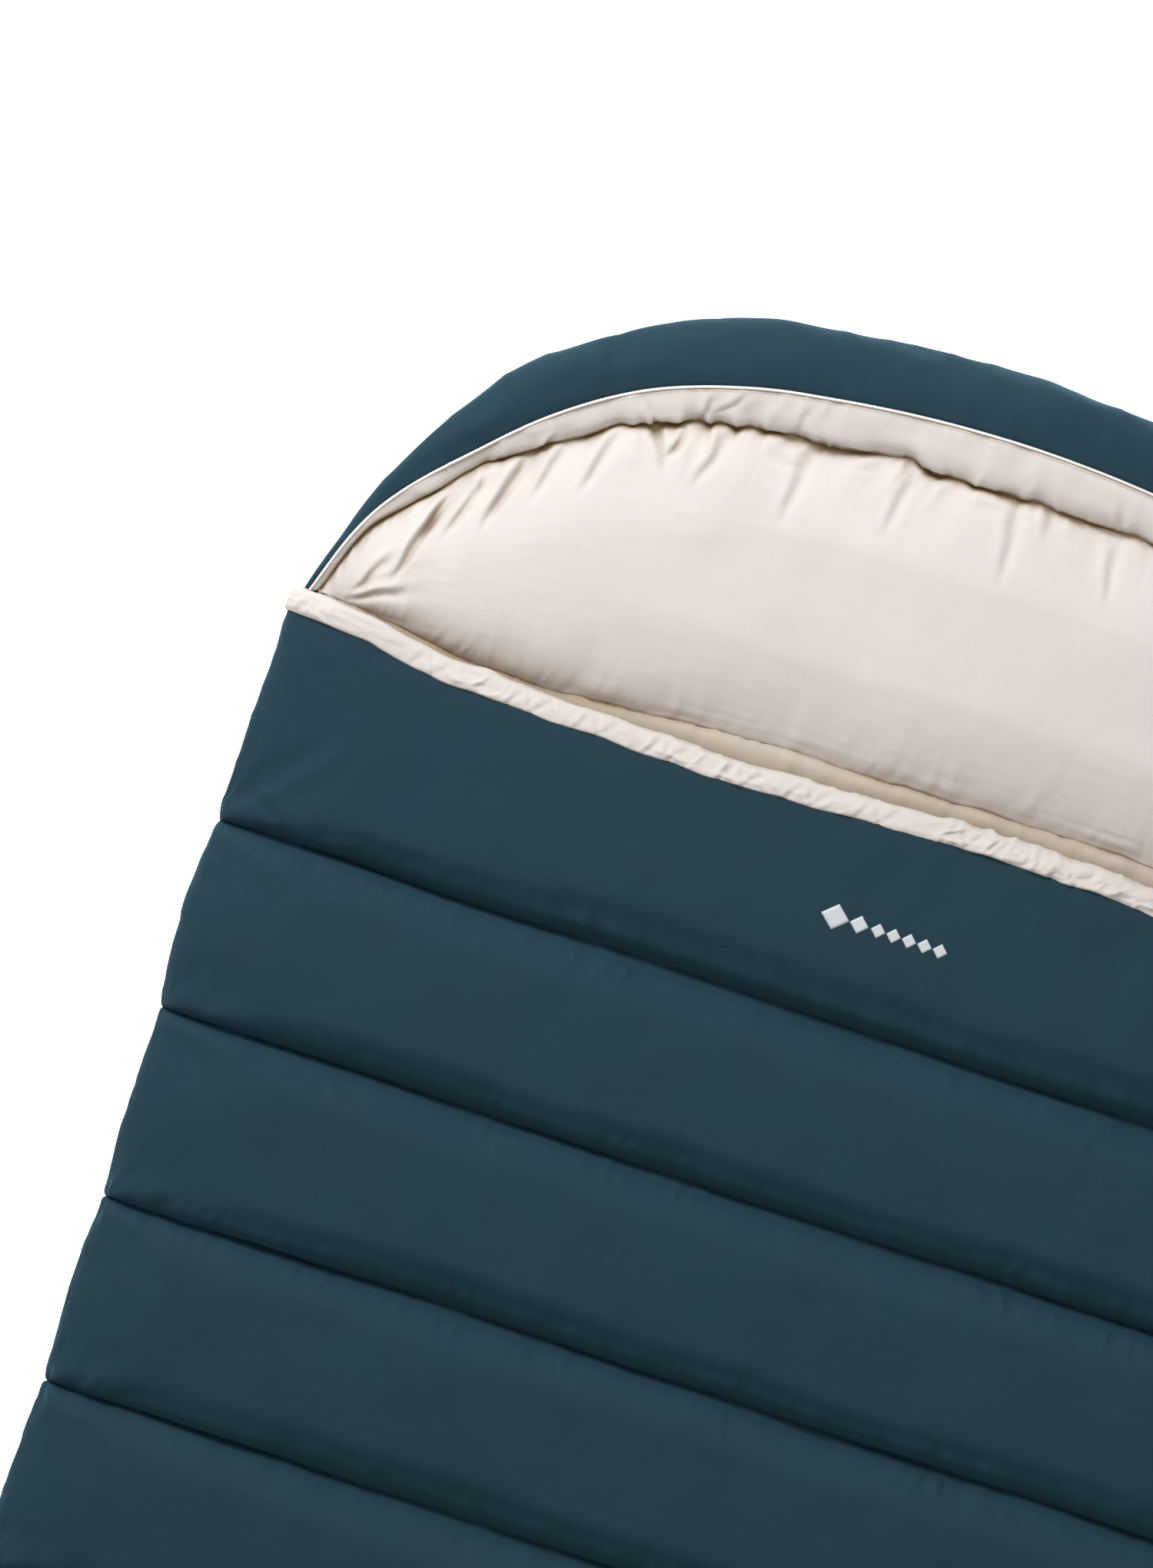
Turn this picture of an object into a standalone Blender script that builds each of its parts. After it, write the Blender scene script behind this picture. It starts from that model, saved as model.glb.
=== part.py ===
"""Double camp sleeping quilt bag: quilted back and cover joined by two side zips, with a
padded pillow hood. Metres, +Z up. +Y is the head end, X is the width.
The origin is the centre of the footprint, on the ground."""

import math

import bmesh
import bpy
from mathutils import Vector

# ---------------------------------------------------------------- driving dimensions
TOTAL_LENGTH = 2.270  # foot edge to the top of the hood
HOOD_RISE = 0.467  # hood seam to the top of the hood
HALF_EDGE = 0.7145  # half width of the wadding
ZIP_X = 0.712  # plane of each side zip

MOUTH_SETBACK = 0.0210  # hood seam to the front of the mouth binding
BINDING = 0.0300  # visible width of the mouth binding
FIRST_SEAM = 0.2730  # hood seam to the first stitch line
PANEL = 0.2176  # stitch line to stitch line
PANELS = 8
FOLD_SEAM = 1  # index of the stitch line that the cover turns down on

CLOTH = 0.0008  # modelled cloth thickness
GAP = 0.0005  # clearance between touching layers

Z_BACK_TOP = 0.0340  # top of the back wadding
Z_SEAM_DIP = 0.0125  # top of the wadding where the hood seam pinches it
Z_COVER_BOTTOM = 0.0564  # underside of the cover wadding
Z_STITCH = 0.0615  # top of the cover wadding at a stitch line
PUFF = 0.0310  # crown of each quilted panel above its stitch lines
FOLD_AXIS_RISE = 0.0140  # the cover folds round a roll this far above the cloth

RIM_FLATNESS = 0.70  # hood rim: height over width

Y_TOP = TOTAL_LENGTH / 2
Y_FOOT = -TOTAL_LENGTH / 2
Y_HOOD = Y_TOP - HOOD_RISE
SEAMS = [Y_HOOD - FIRST_SEAM - PANEL * k for k in range(PANELS - 1)]
Y_FOLD = SEAMS[FOLD_SEAM]
Y_BAND_REAR = Y_HOOD - MOUTH_SETBACK - BINDING
Y_BAND_FRONT = Y_HOOD - MOUTH_SETBACK
Y_INNER_FOOT = Y_FOOT + 0.0080
HALF_GAP = 0.0003

# hood outline, piping line and gather line: (half width, distance past the hood seam),
# at matching stations from the corner to the centre line
OUTLINE = [(0.7160, 0.006), (0.702, 0.070), (0.676, 0.146), (0.625, 0.236), (0.553, 0.325),
           (0.455, 0.392), (0.345, 0.435), (0.230, 0.455), (0.115, 0.465), (0.0, 0.467)]
PIPING = [(0.7120, 0.008), (0.683, 0.076), (0.645, 0.134), (0.585, 0.206), (0.518, 0.274),
          (0.430, 0.330), (0.327, 0.373), (0.220, 0.396), (0.110, 0.407), (0.0, 0.411)]
GATHER = [(0.7060, 0.010), (0.670, 0.080), (0.629, 0.127), (0.572, 0.195), (0.500, 0.245),
          (0.413, 0.298), (0.315, 0.326), (0.212, 0.340), (0.106, 0.346), (0.0, 0.3465)]

ZIP_TOP = Y_BAND_FRONT - 0.006
ZIP_BOTTOM = Y_FOOT + 0.016
TAPE_LOW = (0.0143, 0.0285)  # z range of the back's tape
TAPE_HIGH = (0.0349, 0.0498)  # z range of the cover's tape
CHAIN_Z = 0.0317
HEAD_SLIDER_Y = Y_FOLD - 0.0274
FOOT_SLIDER_Y = Y_FOOT + 0.045

# ---------------------------------------------------------------- scene and materials
for old in list(bpy.data.objects):
    bpy.data.objects.remove(old, do_unlink=True)

collection = bpy.data.collections.new("camp_sleeping_quilt")
bpy.context.scene.collection.children.link(collection)


def material(name, colour, roughness, metallic=0.0):
    made = bpy.data.materials.new(name)
    made.use_nodes = True
    shader = made.node_tree.nodes["Principled BSDF"]
    shader.inputs["Base Color"].default_value = (*colour, 1.0)
    shader.inputs["Roughness"].default_value = roughness
    shader.inputs["Metallic"].default_value = metallic
    return made


PETROL = material("petrol_shell_cloth", (0.024, 0.052, 0.072), 0.62)
CREAM = material("cream_lining_cloth", (0.70, 0.66, 0.60), 0.80)
WADDING = material("white_wadding", (0.86, 0.86, 0.84), 0.95)
TAPE = material("zip_tape", (0.020, 0.040, 0.055), 0.75)
COIL = material("zip_coil", (0.015, 0.030, 0.042), 0.45)
METAL = material("slider_metal", (0.10, 0.11, 0.12), 0.35, 0.9)
GRIP = material("puller_grip", (0.55, 0.53, 0.48), 0.55)
LABEL = material("care_label_cloth", (0.80, 0.79, 0.76), 0.70)


# ---------------------------------------------------------------- tools
def smooth(t):
    t = min(1.0, max(0.0, t))
    return t * t * (3 - 2 * t)


def finish(bm, name, mat, at=None):
    """bm becomes an object of that name, with its origin at the point 'at'."""
    bmesh.ops.recalc_face_normals(bm, faces=bm.faces)
    if at is not None:
        bmesh.ops.translate(bm, verts=bm.verts, vec=-Vector(at))
    mesh = bpy.data.meshes.new(name)
    bm.to_mesh(mesh)
    bm.free()
    obj = bpy.data.objects.new(name, mesh)
    if at is not None:
        obj.location = at
    mesh.materials.append(mat)
    mesh.shade_smooth()
    mesh.set_sharp_from_angle(angle=math.radians(50))
    collection.objects.link(obj)
    return obj


def grid(nx, ny):
    """A flat grid, and the column and row of each of its points."""
    bm = bmesh.new()
    bmesh.ops.create_grid(bm, x_segments=nx, y_segments=ny, size=1.0)
    index = {v: (round((v.co.x + 1) / 2 * nx), round((v.co.y + 1) / 2 * ny)) for v in bm.verts}
    return bm, index


def sheet(name, nx, ny, point, mat, up, at=None):
    """Cloth: a grid whose points are placed by point(i, j), given its thickness by Solidify
    on the side that 'up' says (+1 along the face normals of a level sheet, -1 against)."""
    bm, index = grid(nx, ny)
    for v, (i, j) in index.items():
        v.co = point(i, j)
    bm.normal_update()
    if sum(f.normal.z * f.calc_area() for f in bm.faces) < 0:
        bmesh.ops.reverse_faces(bm, faces=bm.faces)
    if at is not None:
        bmesh.ops.translate(bm, verts=bm.verts, vec=-Vector(at))
    mesh = bpy.data.meshes.new(name)
    bm.to_mesh(mesh)
    bm.free()
    obj = bpy.data.objects.new(name, mesh)
    if at is not None:
        obj.location = at
    mesh.materials.append(mat)
    mesh.shade_smooth()
    collection.objects.link(obj)
    solid = obj.modifiers.new("thickness", "SOLIDIFY")
    solid.thickness = CLOTH
    solid.offset = up
    return obj


def slab(name, nx, ny, low, high, mat, at=None):
    """Wadding: a grid extruded once, with its lower points at low(i, j) and upper at high(i, j)."""
    bm, index = grid(nx, ny)
    places = {(round(v.co.x, 5), round(v.co.y, 5)): k for v, k in index.items()}
    made = bmesh.ops.extrude_face_region(bm, geom=list(bm.faces))
    top = {e for e in made["geom"] if isinstance(e, bmesh.types.BMVert)}
    for v in bm.verts:
        i, j = places[(round(v.co.x, 5), round(v.co.y, 5))]
        v.co = high(i, j) if v in top else low(i, j)
    return finish(bm, name, mat, at)


def block(name, low, high, mat, at=None):
    bm = bmesh.new()
    bmesh.ops.create_cube(bm, size=1.0)
    low, high = Vector(low), Vector(high)
    for v in bm.verts:
        v.co = Vector((low[k] + (v.co[k] + 0.5) * (high[k] - low[k]) for k in range(3)))
    return finish(bm, name, mat, at)


def extruded(name, outline, y0, y1, mat, at):
    """A flat outline in X and Z as a 2D curve, drawn out along Y from y0 to y1."""
    curve = bpy.data.curves.new(name, "CURVE")
    curve.dimensions = "2D"
    curve.fill_mode = "BOTH"
    curve.extrude = (y1 - y0) / 2
    spline = curve.splines.new("POLY")
    spline.points.add(len(outline) - 1)
    for p, (x, z) in zip(spline.points, outline):
        p.co = (x - at[0], z - at[2], 0, 1)
    spline.use_cyclic_u = True
    obj = bpy.data.objects.new(name, curve)
    curve.materials.append(mat)
    # the curve's own plane is X-Y; a quarter turn about X stands it up, facing -Y
    obj.rotation_euler = (math.pi / 2, 0, 0)
    obj.location = (at[0], (y0 + y1) / 2, at[2])
    collection.objects.link(obj)
    return obj


def tube(name, points, radii, mat, sides=2, squash=1.0):
    curve = bpy.data.curves.new(name, "CURVE")
    curve.dimensions = "3D"
    curve.bevel_depth = 1.0
    curve.bevel_resolution = sides
    curve.use_fill_caps = True
    spline = curve.splines.new("POLY")
    spline.points.add(len(points) - 1)
    for p, q, r in zip(spline.points, points, radii):
        p.co = (q[0], q[1], q[2] / squash, 1)
        p.radius = r
    obj = bpy.data.objects.new(name, curve)
    curve.materials.append(mat)
    obj.scale = (1, 1, squash)
    collection.objects.link(obj)
    return obj


# ---------------------------------------------------------------- section of the quilted cover
X_STATIONS = [-HALF_EDGE, -0.700, -0.670, -0.600, -0.300, 0.0, 0.300, 0.600, 0.670, 0.700, HALF_EDGE]
STEPS = [0.0, 0.12, 0.30, 0.50, 0.70, 0.88]


def side(x):
    """1 across the middle, falling to 0 at the side edge like the quarter of an ellipse."""
    start = 0.62
    t = max(0.0, (abs(x) - start) / (HALF_EDGE - start))
    return math.sqrt(max(0.0, 1 - t * t))


def cover_top(x, y):
    """Top of the cover wadding: one crown for each panel between stitch lines."""
    if y >= SEAMS[0]:
        t = (y - SEAMS[0]) / (Y_BAND_FRONT + 0.060 - SEAMS[0])
    elif y <= SEAMS[-1]:
        t = (SEAMS[-1] - y) / (SEAMS[-1] - Y_FOOT + 0.012)
    else:
        t = ((SEAMS[0] - y) / PANEL) % 1.0
    crown = Z_STITCH + PUFF * math.sin(math.pi * t) ** 2
    edge = Z_COVER_BOTTOM + 0.0025
    return edge + (crown - edge) * (0.12 + 0.88 * side(x)) if abs(x) < HALF_EDGE else edge


FOOT_DROP = [(Y_INNER_FOOT, 0.0194), (Y_FOOT + 0.022, 0.0168), (Y_FOOT + 0.044, 0.0060), (Y_FOOT + 0.066, 0.0)]


def cover_bottom(y):
    """Underside of the cover wadding: level, and closing down on the back at the foot."""
    for (a, drop_a), (b, drop_b) in zip(FOOT_DROP, FOOT_DROP[1:]):
        if y <= b:
            return Z_COVER_BOTTOM - (drop_a + (drop_b - drop_a) * (y - a) / (b - a))
    return Z_COVER_BOTTOM


def low_x(x, y):
    """The underside is narrower where it comes down between the zips."""
    return x * (0.7055 / HALF_EDGE if y < FOOT_DROP[-1][0] - 1e-6 else 1.0)


def rows_between(y0, y1):
    """Row places from y0 up to y1, with steps that follow the crowns."""
    marks = [Y_FOOT + 0.012] + sorted(SEAMS)
    rows = {round(y0, 6), round(y1, 6)}
    for a, b in zip(marks, marks[1:] + [Y_BAND_REAR]):
        for t in STEPS:
            y = a + (b - a) * t
            if y0 + 0.004 < y < y1 - 0.004:
                rows.add(round(y, 6))
    return sorted(rows)


def cover_piece(prefix, y0, y1, foot=False, front=False, at=None):
    """Shell, wadding and lining of the part of the cover from y0 to y1."""
    wadding_end = Y_BAND_FRONT - 0.0018 if front else y1
    rows = rows_between(y0, y1)
    if foot:
        rows = sorted(set(rows + [round(y, 6) for y, _ in FOOT_DROP]))
    w_rows = rows + ([wadding_end] if front else [])
    n = len(X_STATIONS) - 1

    slab(prefix + "_insulation", n, len(w_rows) - 1,
         lambda i, j: Vector((low_x(X_STATIONS[i], w_rows[j]), w_rows[j], cover_bottom(w_rows[j]))),
         lambda i, j: Vector((X_STATIONS[i], w_rows[j],
                              max(cover_top(X_STATIONS[i], w_rows[j]), cover_bottom(w_rows[j]) + 0.0025)
                              - (0.012 * side(X_STATIONS[i]) if front and j == len(w_rows) - 1 else 0.0))),
         WADDING, at)

    s_rows = rows
    extra = [(Y_FOOT + 0.0058, 0.0330), (Y_FOOT + 0.0022, 0.0400), (Y_FOOT + 0.0022, 0.0480)] if foot else []

    def shell(i, j):
        if i == 0 or i == n + 4:
            x, z = 0.7125, 0.0503
        elif i == 1 or i == n + 3:
            x, z = 0.7172, 0.0560
        else:
            x, z = X_STATIONS[i - 2], None
        x = math.copysign(x, i - (n + 4) / 2) if z is not None else x
        if j < len(extra):
            y, zf = extra[j]
            corner = {0: 0.7166, 1: 0.7154, 2: 0.7140}.get(min(i, n + 4 - i))
            return Vector((math.copysign(corner, x) if corner else x, y, zf))
        y = s_rows[j - len(extra)]
        if z is None:
            z = cover_top(x, y) + GAP
        return Vector((x, y, z))

    sheet(prefix + "_outer_shell", n + 4, len(extra) + len(s_rows) - 1, shell, PETROL, 1, at)

    l_rows = [y for y in rows if y <= Y_BAND_REAR + 1e-6]
    sparse = [y for k, y in enumerate(l_rows) if k in (0, len(l_rows) - 1) or y < Y_FOOT + 0.10 or k % 3 == 0]
    xs = [-0.7090, -0.60, 0.0, 0.60, 0.7090]
    sheet(prefix + "_lining", len(xs) - 1, len(sparse) - 1,
          lambda i, j: Vector((low_x(xs[i], sparse[j]) if foot else xs[i], sparse[j],
                               cover_bottom(sparse[j]) - 0.0004)),
          CREAM, -1, at)


FOLD_AXIS = (0.0, Y_FOLD, Z_STITCH + GAP + CLOTH + FOLD_AXIS_RISE)
HOOD_AXIS = (0.0, Y_HOOD, Z_SEAM_DIP + 0.0014)

cover_piece("cover", Y_INNER_FOOT, Y_FOLD - HALF_GAP, foot=True)
cover_piece("turndown", Y_FOLD + HALF_GAP, Y_BAND_REAR, front=True, at=FOLD_AXIS)


# ---------------------------------------------------------------- mouth binding on the turn-down
def binding(i, j):
    """A folded strip: over the top of the cover's front edge, round its nose and back under."""
    xs = X_STATIONS[1:-1]
    x = xs[i]
    y_in = Y_BAND_REAR + 0.0006
    y_nose = Y_BAND_FRONT - 0.0008
    z_top_rear = cover_top(x, y_in) + GAP
    z_top_front = cover_top(x, Y_BAND_FRONT - 0.0018) - 0.012 * side(x) + GAP
    z_low = Z_COVER_BOTTOM - GAP
    z_mid = z_top_front + (z_top_rear - z_top_front) * (0.0100 - 0.0018) / (BINDING - 0.0018) + 0.0014
    path = [
        (y_in, z_top_rear),
        (Y_BAND_FRONT - 0.0100, z_mid),
        (y_nose, z_top_front + 0.0002),
        (y_nose, z_low),
        (y_in, z_low),
    ]
    y, z = path[j]
    return Vector((x, y, z))


def binding_strip():
    xs = X_STATIONS[1:-1]
    bm, index = grid(len(xs) - 1, 4)
    for v, (i, j) in index.items():
        v.co = binding(i, j) - Vector(FOLD_AXIS)
    bm.normal_update()
    top = max(bm.faces, key=lambda f: f.calc_center_median().z)
    if top.normal.z < 0:
        bmesh.ops.reverse_faces(bm, faces=bm.faces)
    mesh = bpy.data.meshes.new("mouth_binding")
    bm.to_mesh(mesh)
    bm.free()
    obj = bpy.data.objects.new("mouth_binding", mesh)
    obj.location = FOLD_AXIS
    mesh.materials.append(CREAM)
    collection.objects.link(obj)
    solid = obj.modifiers.new("thickness", "SOLIDIFY")
    solid.thickness = CLOTH
    solid.offset = 1


binding_strip()


# ---------------------------------------------------------------- back
def back_top(x, y):
    """Top of the back wadding: level, lower along the zips and pinched at the hood seam."""
    z = Z_BACK_TOP - 0.0215 * smooth((abs(x) - 0.655) / 0.050)
    pinch = Z_SEAM_DIP + (Z_BACK_TOP - Z_SEAM_DIP) * smooth((Y_HOOD - y) / 0.045)
    return min(z, pinch)


back_x = [-0.7060, -0.690, -0.672, -0.655, -0.30, 0.30, 0.655, 0.672, 0.690, 0.7060]
back_y = [Y_INNER_FOOT, -0.60, 0.0, Y_HOOD - 0.045, Y_HOOD - 0.030, Y_HOOD - 0.015, Y_HOOD - HALF_GAP]
slab("back_insulation", len(back_x) - 1, len(back_y) - 1,
     lambda i, j: Vector((back_x[i] * 0.991, back_y[j], CLOTH + GAP)),
     lambda i, j: Vector((back_x[i], back_y[j], back_top(back_x[i], back_y[j]))),
     WADDING)
sheet("back_lining", len(back_x) - 1, len(back_y) - 1,
      lambda i, j: Vector((back_x[i], min(back_y[j], Y_HOOD - 0.0010), back_top(back_x[i], back_y[j]) + 0.0004)),
      CREAM, 1)

shell_x = [(-0.7125, 0.0138), (-0.7165, 0.0090), (-0.7120, 0.0025), (-0.703, 0.0), (-0.30, 0.0),
           (0.30, 0.0), (0.703, 0.0), (0.7120, 0.0025), (0.7165, 0.0090), (0.7125, 0.0138)]
shell_y = [(Y_FOOT + 0.0058, 0.0312), (Y_FOOT + 0.0018, 0.0225), (Y_FOOT + 0.0018, 0.0090), (Y_FOOT + 0.0070, 0.0), (-0.60, 0.0),
           (0.0, 0.0), (Y_HOOD - HALF_GAP, 0.0)]
sheet("back_outer_shell", len(shell_x) - 1, len(shell_y) - 1,
      lambda i, j: Vector((shell_x[i][0], shell_y[j][0], max(shell_x[i][1], shell_y[j][1]))),
      PETROL, 1)


# ---------------------------------------------------------------- hood
def spline_at(table, t):
    """A smooth curve through the table's points, mirrored past its last (centre) point.
    t runs from 0, the left corner, through 0.5, the centre, to 1, the right corner."""
    full = [(-x, y) for x, y in table] + [(x, y) for x, y in reversed(table[:-1])]
    s = t * (len(full) - 1)
    k = min(int(s), len(full) - 2)
    f = s - k
    p = [full[max(0, min(len(full) - 1, k + d))] for d in (-1, 0, 1, 2)]
    out = []
    for c in (0, 1):
        a, b, d, e = (q[c] for q in p)
        out.append(0.5 * (2 * b + (d - a) * f + (2 * a - 5 * b + 4 * d - e) * f * f + (3 * b - a - 3 * d + e) * f ** 3))
    return Vector((out[0], Y_HOOD + out[1], 0.0))


def rim_at(t):
    """(centre, outward direction, half width, half height, angle of the piping) of the hood's rim."""
    out, pipe, gather = spline_at(OUTLINE, t), spline_at(PIPING, t), spline_at(GATHER, t)
    across = out - gather
    half = across.length / 2
    n = across.normalized()
    a = max(half - 0.0016, 0.0030)
    b = a * RIM_FLATNESS
    centre = (out + gather) / 2
    centre.z = b + CLOTH + 0.0006
    c = max(-0.80, min(0.80, (pipe - centre).dot(n) / a))
    return centre, n, a, b, math.acos(c)


def rim_point(t, angle, more):
    centre, n, a, b, _ = rim_at(t)
    return centre + n * (a + more) * math.cos(angle) + Vector((0, 0, (b + more) * math.sin(angle)))


RIM_STATIONS = 44
FROM, TO = 0.012, 0.988


def station(i, count=RIM_STATIONS):
    return FROM + (TO - FROM) * i / count


def mouth_point(t, y, z):
    g = spline_at(GATHER, t)
    return Vector((g.x * 0.992, y, z))


def inner_limit(t):
    centre, n, a, b, _ = rim_at(t)
    p = centre - n * (a + CLOTH + 0.0006 + 0.0012)
    p.y = max(p.y, Y_HOOD + 0.0035)
    return p


def hood_level(t, share):
    """Top of the hood's base wadding, from the hood seam (share 0) to the rim (share 1)."""
    centre, n, a, b, _ = rim_at(t)
    most = min(Z_BACK_TOP, centre.z + 0.55 * b)
    run = max(inner_limit(t).y - Y_HOOD, 0.004)
    rise = smooth(share * run / 0.045)
    low = min(Z_SEAM_DIP, most)
    return low + (most - low) * rise


BASE_SHARES = [0.0, 0.06, 0.13, 0.40, 1.0]


def base_point(i, j, z):
    t = station(i)
    m, e = mouth_point(t, Y_HOOD + HALF_GAP, 0), inner_limit(t)
    f = BASE_SHARES[j]
    return Vector((m.x + (e.x - m.x) * f, m.y + (e.y - m.y) * f, z))


slab("hood_base_insulation", RIM_STATIONS, len(BASE_SHARES) - 1,
     lambda i, j: base_point(i, j, CLOTH + GAP),
     lambda i, j: base_point(i, j, hood_level(station(i), BASE_SHARES[j])),
     WADDING, HOOD_AXIS)
sheet("hood_lining", RIM_STATIONS, len(BASE_SHARES) - 1,
      lambda i, j: base_point(i, j, hood_level(station(i), BASE_SHARES[j]) + 0.0004)
      + Vector((0, 0.0007 if j == 0 else 0, 0)),
      CREAM, 1, HOOD_AXIS)


def base_shell(i, j):
    """The hood's underside: from the hood seam, under the wadding and the rim, to low on the rim's outer side."""
    t = station(i)
    m = mouth_point(t, Y_HOOD + HALF_GAP, 0.0)
    c = rim_at(t)[0]
    if j < 2:
        c = Vector((c.x, max(c.y, Y_HOOD + 0.0045), 0.0))
        return m + (c - m) * (0.0, 0.5)[j]
    p = rim_point(t, math.radians((-90, -74, -60)[j - 2]), 0.0006 + CLOTH)
    p.z = max(p.z, 0.0)
    p.y = max(p.y, Y_HOOD + 0.0045)
    return p


sheet("hood_base_shell", RIM_STATIONS, 4, base_shell, PETROL, 1, HOOD_AXIS)


def on_rim(name, start, end, rows, mat):
    """Cloth on the rim's surface between two angles, which may depend on the station."""
    bm, index = grid(RIM_STATIONS, rows)
    for v, (i, j) in index.items():
        t = station(i)
        a0, a1 = start(t), end(t)
        v.co = rim_point(t, a0 + (a1 - a0) * j / rows, 0.0006) - Vector(HOOD_AXIS)
    bm.normal_update()
    middle = min(bm.faces, key=lambda f: f.calc_center_median().x ** 2 * 9 - f.calc_center_median().z)
    if middle.normal.z < 0:
        bmesh.ops.reverse_faces(bm, faces=bm.faces)
    mesh = bpy.data.meshes.new(name)
    bm.to_mesh(mesh)
    bm.free()
    obj = bpy.data.objects.new(name, mesh)
    obj.location = HOOD_AXIS
    mesh.materials.append(mat)
    mesh.shade_smooth()
    collection.objects.link(obj)
    solid = obj.modifiers.new("thickness", "SOLIDIFY")
    solid.thickness = CLOTH
    solid.offset = 1


def seam_angle(t):
    return rim_at(t)[4]


on_rim("hood_rim_shell", lambda t: math.radians(-57.0),
       lambda t: seam_angle(t) - 0.0004 / rim_at(t)[2], 6, PETROL)
on_rim("hood_facing", lambda t: seam_angle(t) + 0.0004 / rim_at(t)[2],
       lambda t: math.radians(188.0), 4, CREAM)

SHELL_ROWS, FACING_ROWS = 6, 4
UNDER = [math.radians(a) for a in (215.0, 242.0, 270.0, 286.0, 303.0)]


def ring(t):
    """Angles round the rim: along the shell, along the facing, and back underneath."""
    lo, mid, hi = math.radians(-57.0), seam_angle(t), math.radians(188.0)
    return ([lo + (mid - lo) * k / SHELL_ROWS for k in range(SHELL_ROWS + 1)]
            + [mid + (hi - mid) * k / FACING_ROWS for k in range(1, FACING_ROWS + 1)] + UNDER)


def rim_filling():
    """A tube whose section swells from the corners to the middle of the hood."""
    count = len(ring(0.5)) - 1
    bm, index = grid(RIM_STATIONS, count)
    for v, (i, j) in index.items():
        t = station(i)
        v.co = rim_point(t, ring(t)[j], 0.0) - Vector(HOOD_AXIS)
    bmesh.ops.remove_doubles(bm, verts=bm.verts, dist=0.00001)
    bmesh.ops.holes_fill(bm, edges=[e for e in bm.edges if e.is_boundary], sides=0)
    bmesh.ops.recalc_face_normals(bm, faces=bm.faces)
    bmesh.ops.translate(bm, verts=bm.verts, vec=Vector(HOOD_AXIS))
    finish(bm, "hood_rim_filling", WADDING, HOOD_AXIS)


rim_filling()

pipe_path = []
for i in range(RIM_STATIONS + 1):
    t = station(i)
    pipe_path.append(rim_point(t, seam_angle(t), 0.0006 + CLOTH + 0.0004 + 0.0014))
tube("hood_piping", pipe_path, [0.0014] * len(pipe_path), CREAM, 1)


# ---------------------------------------------------------------- draught tubes inside the zips
for name, s in (("left", -1), ("right", 1)):
    ends = [(s * 0.6940, y, 0.0287) for y in (Y_FOOT + 0.060, Y_BAND_FRONT - 0.030)]
    tube("draught_tube_" + name, ends, [0.0105, 0.0105], CREAM, 3)

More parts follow.
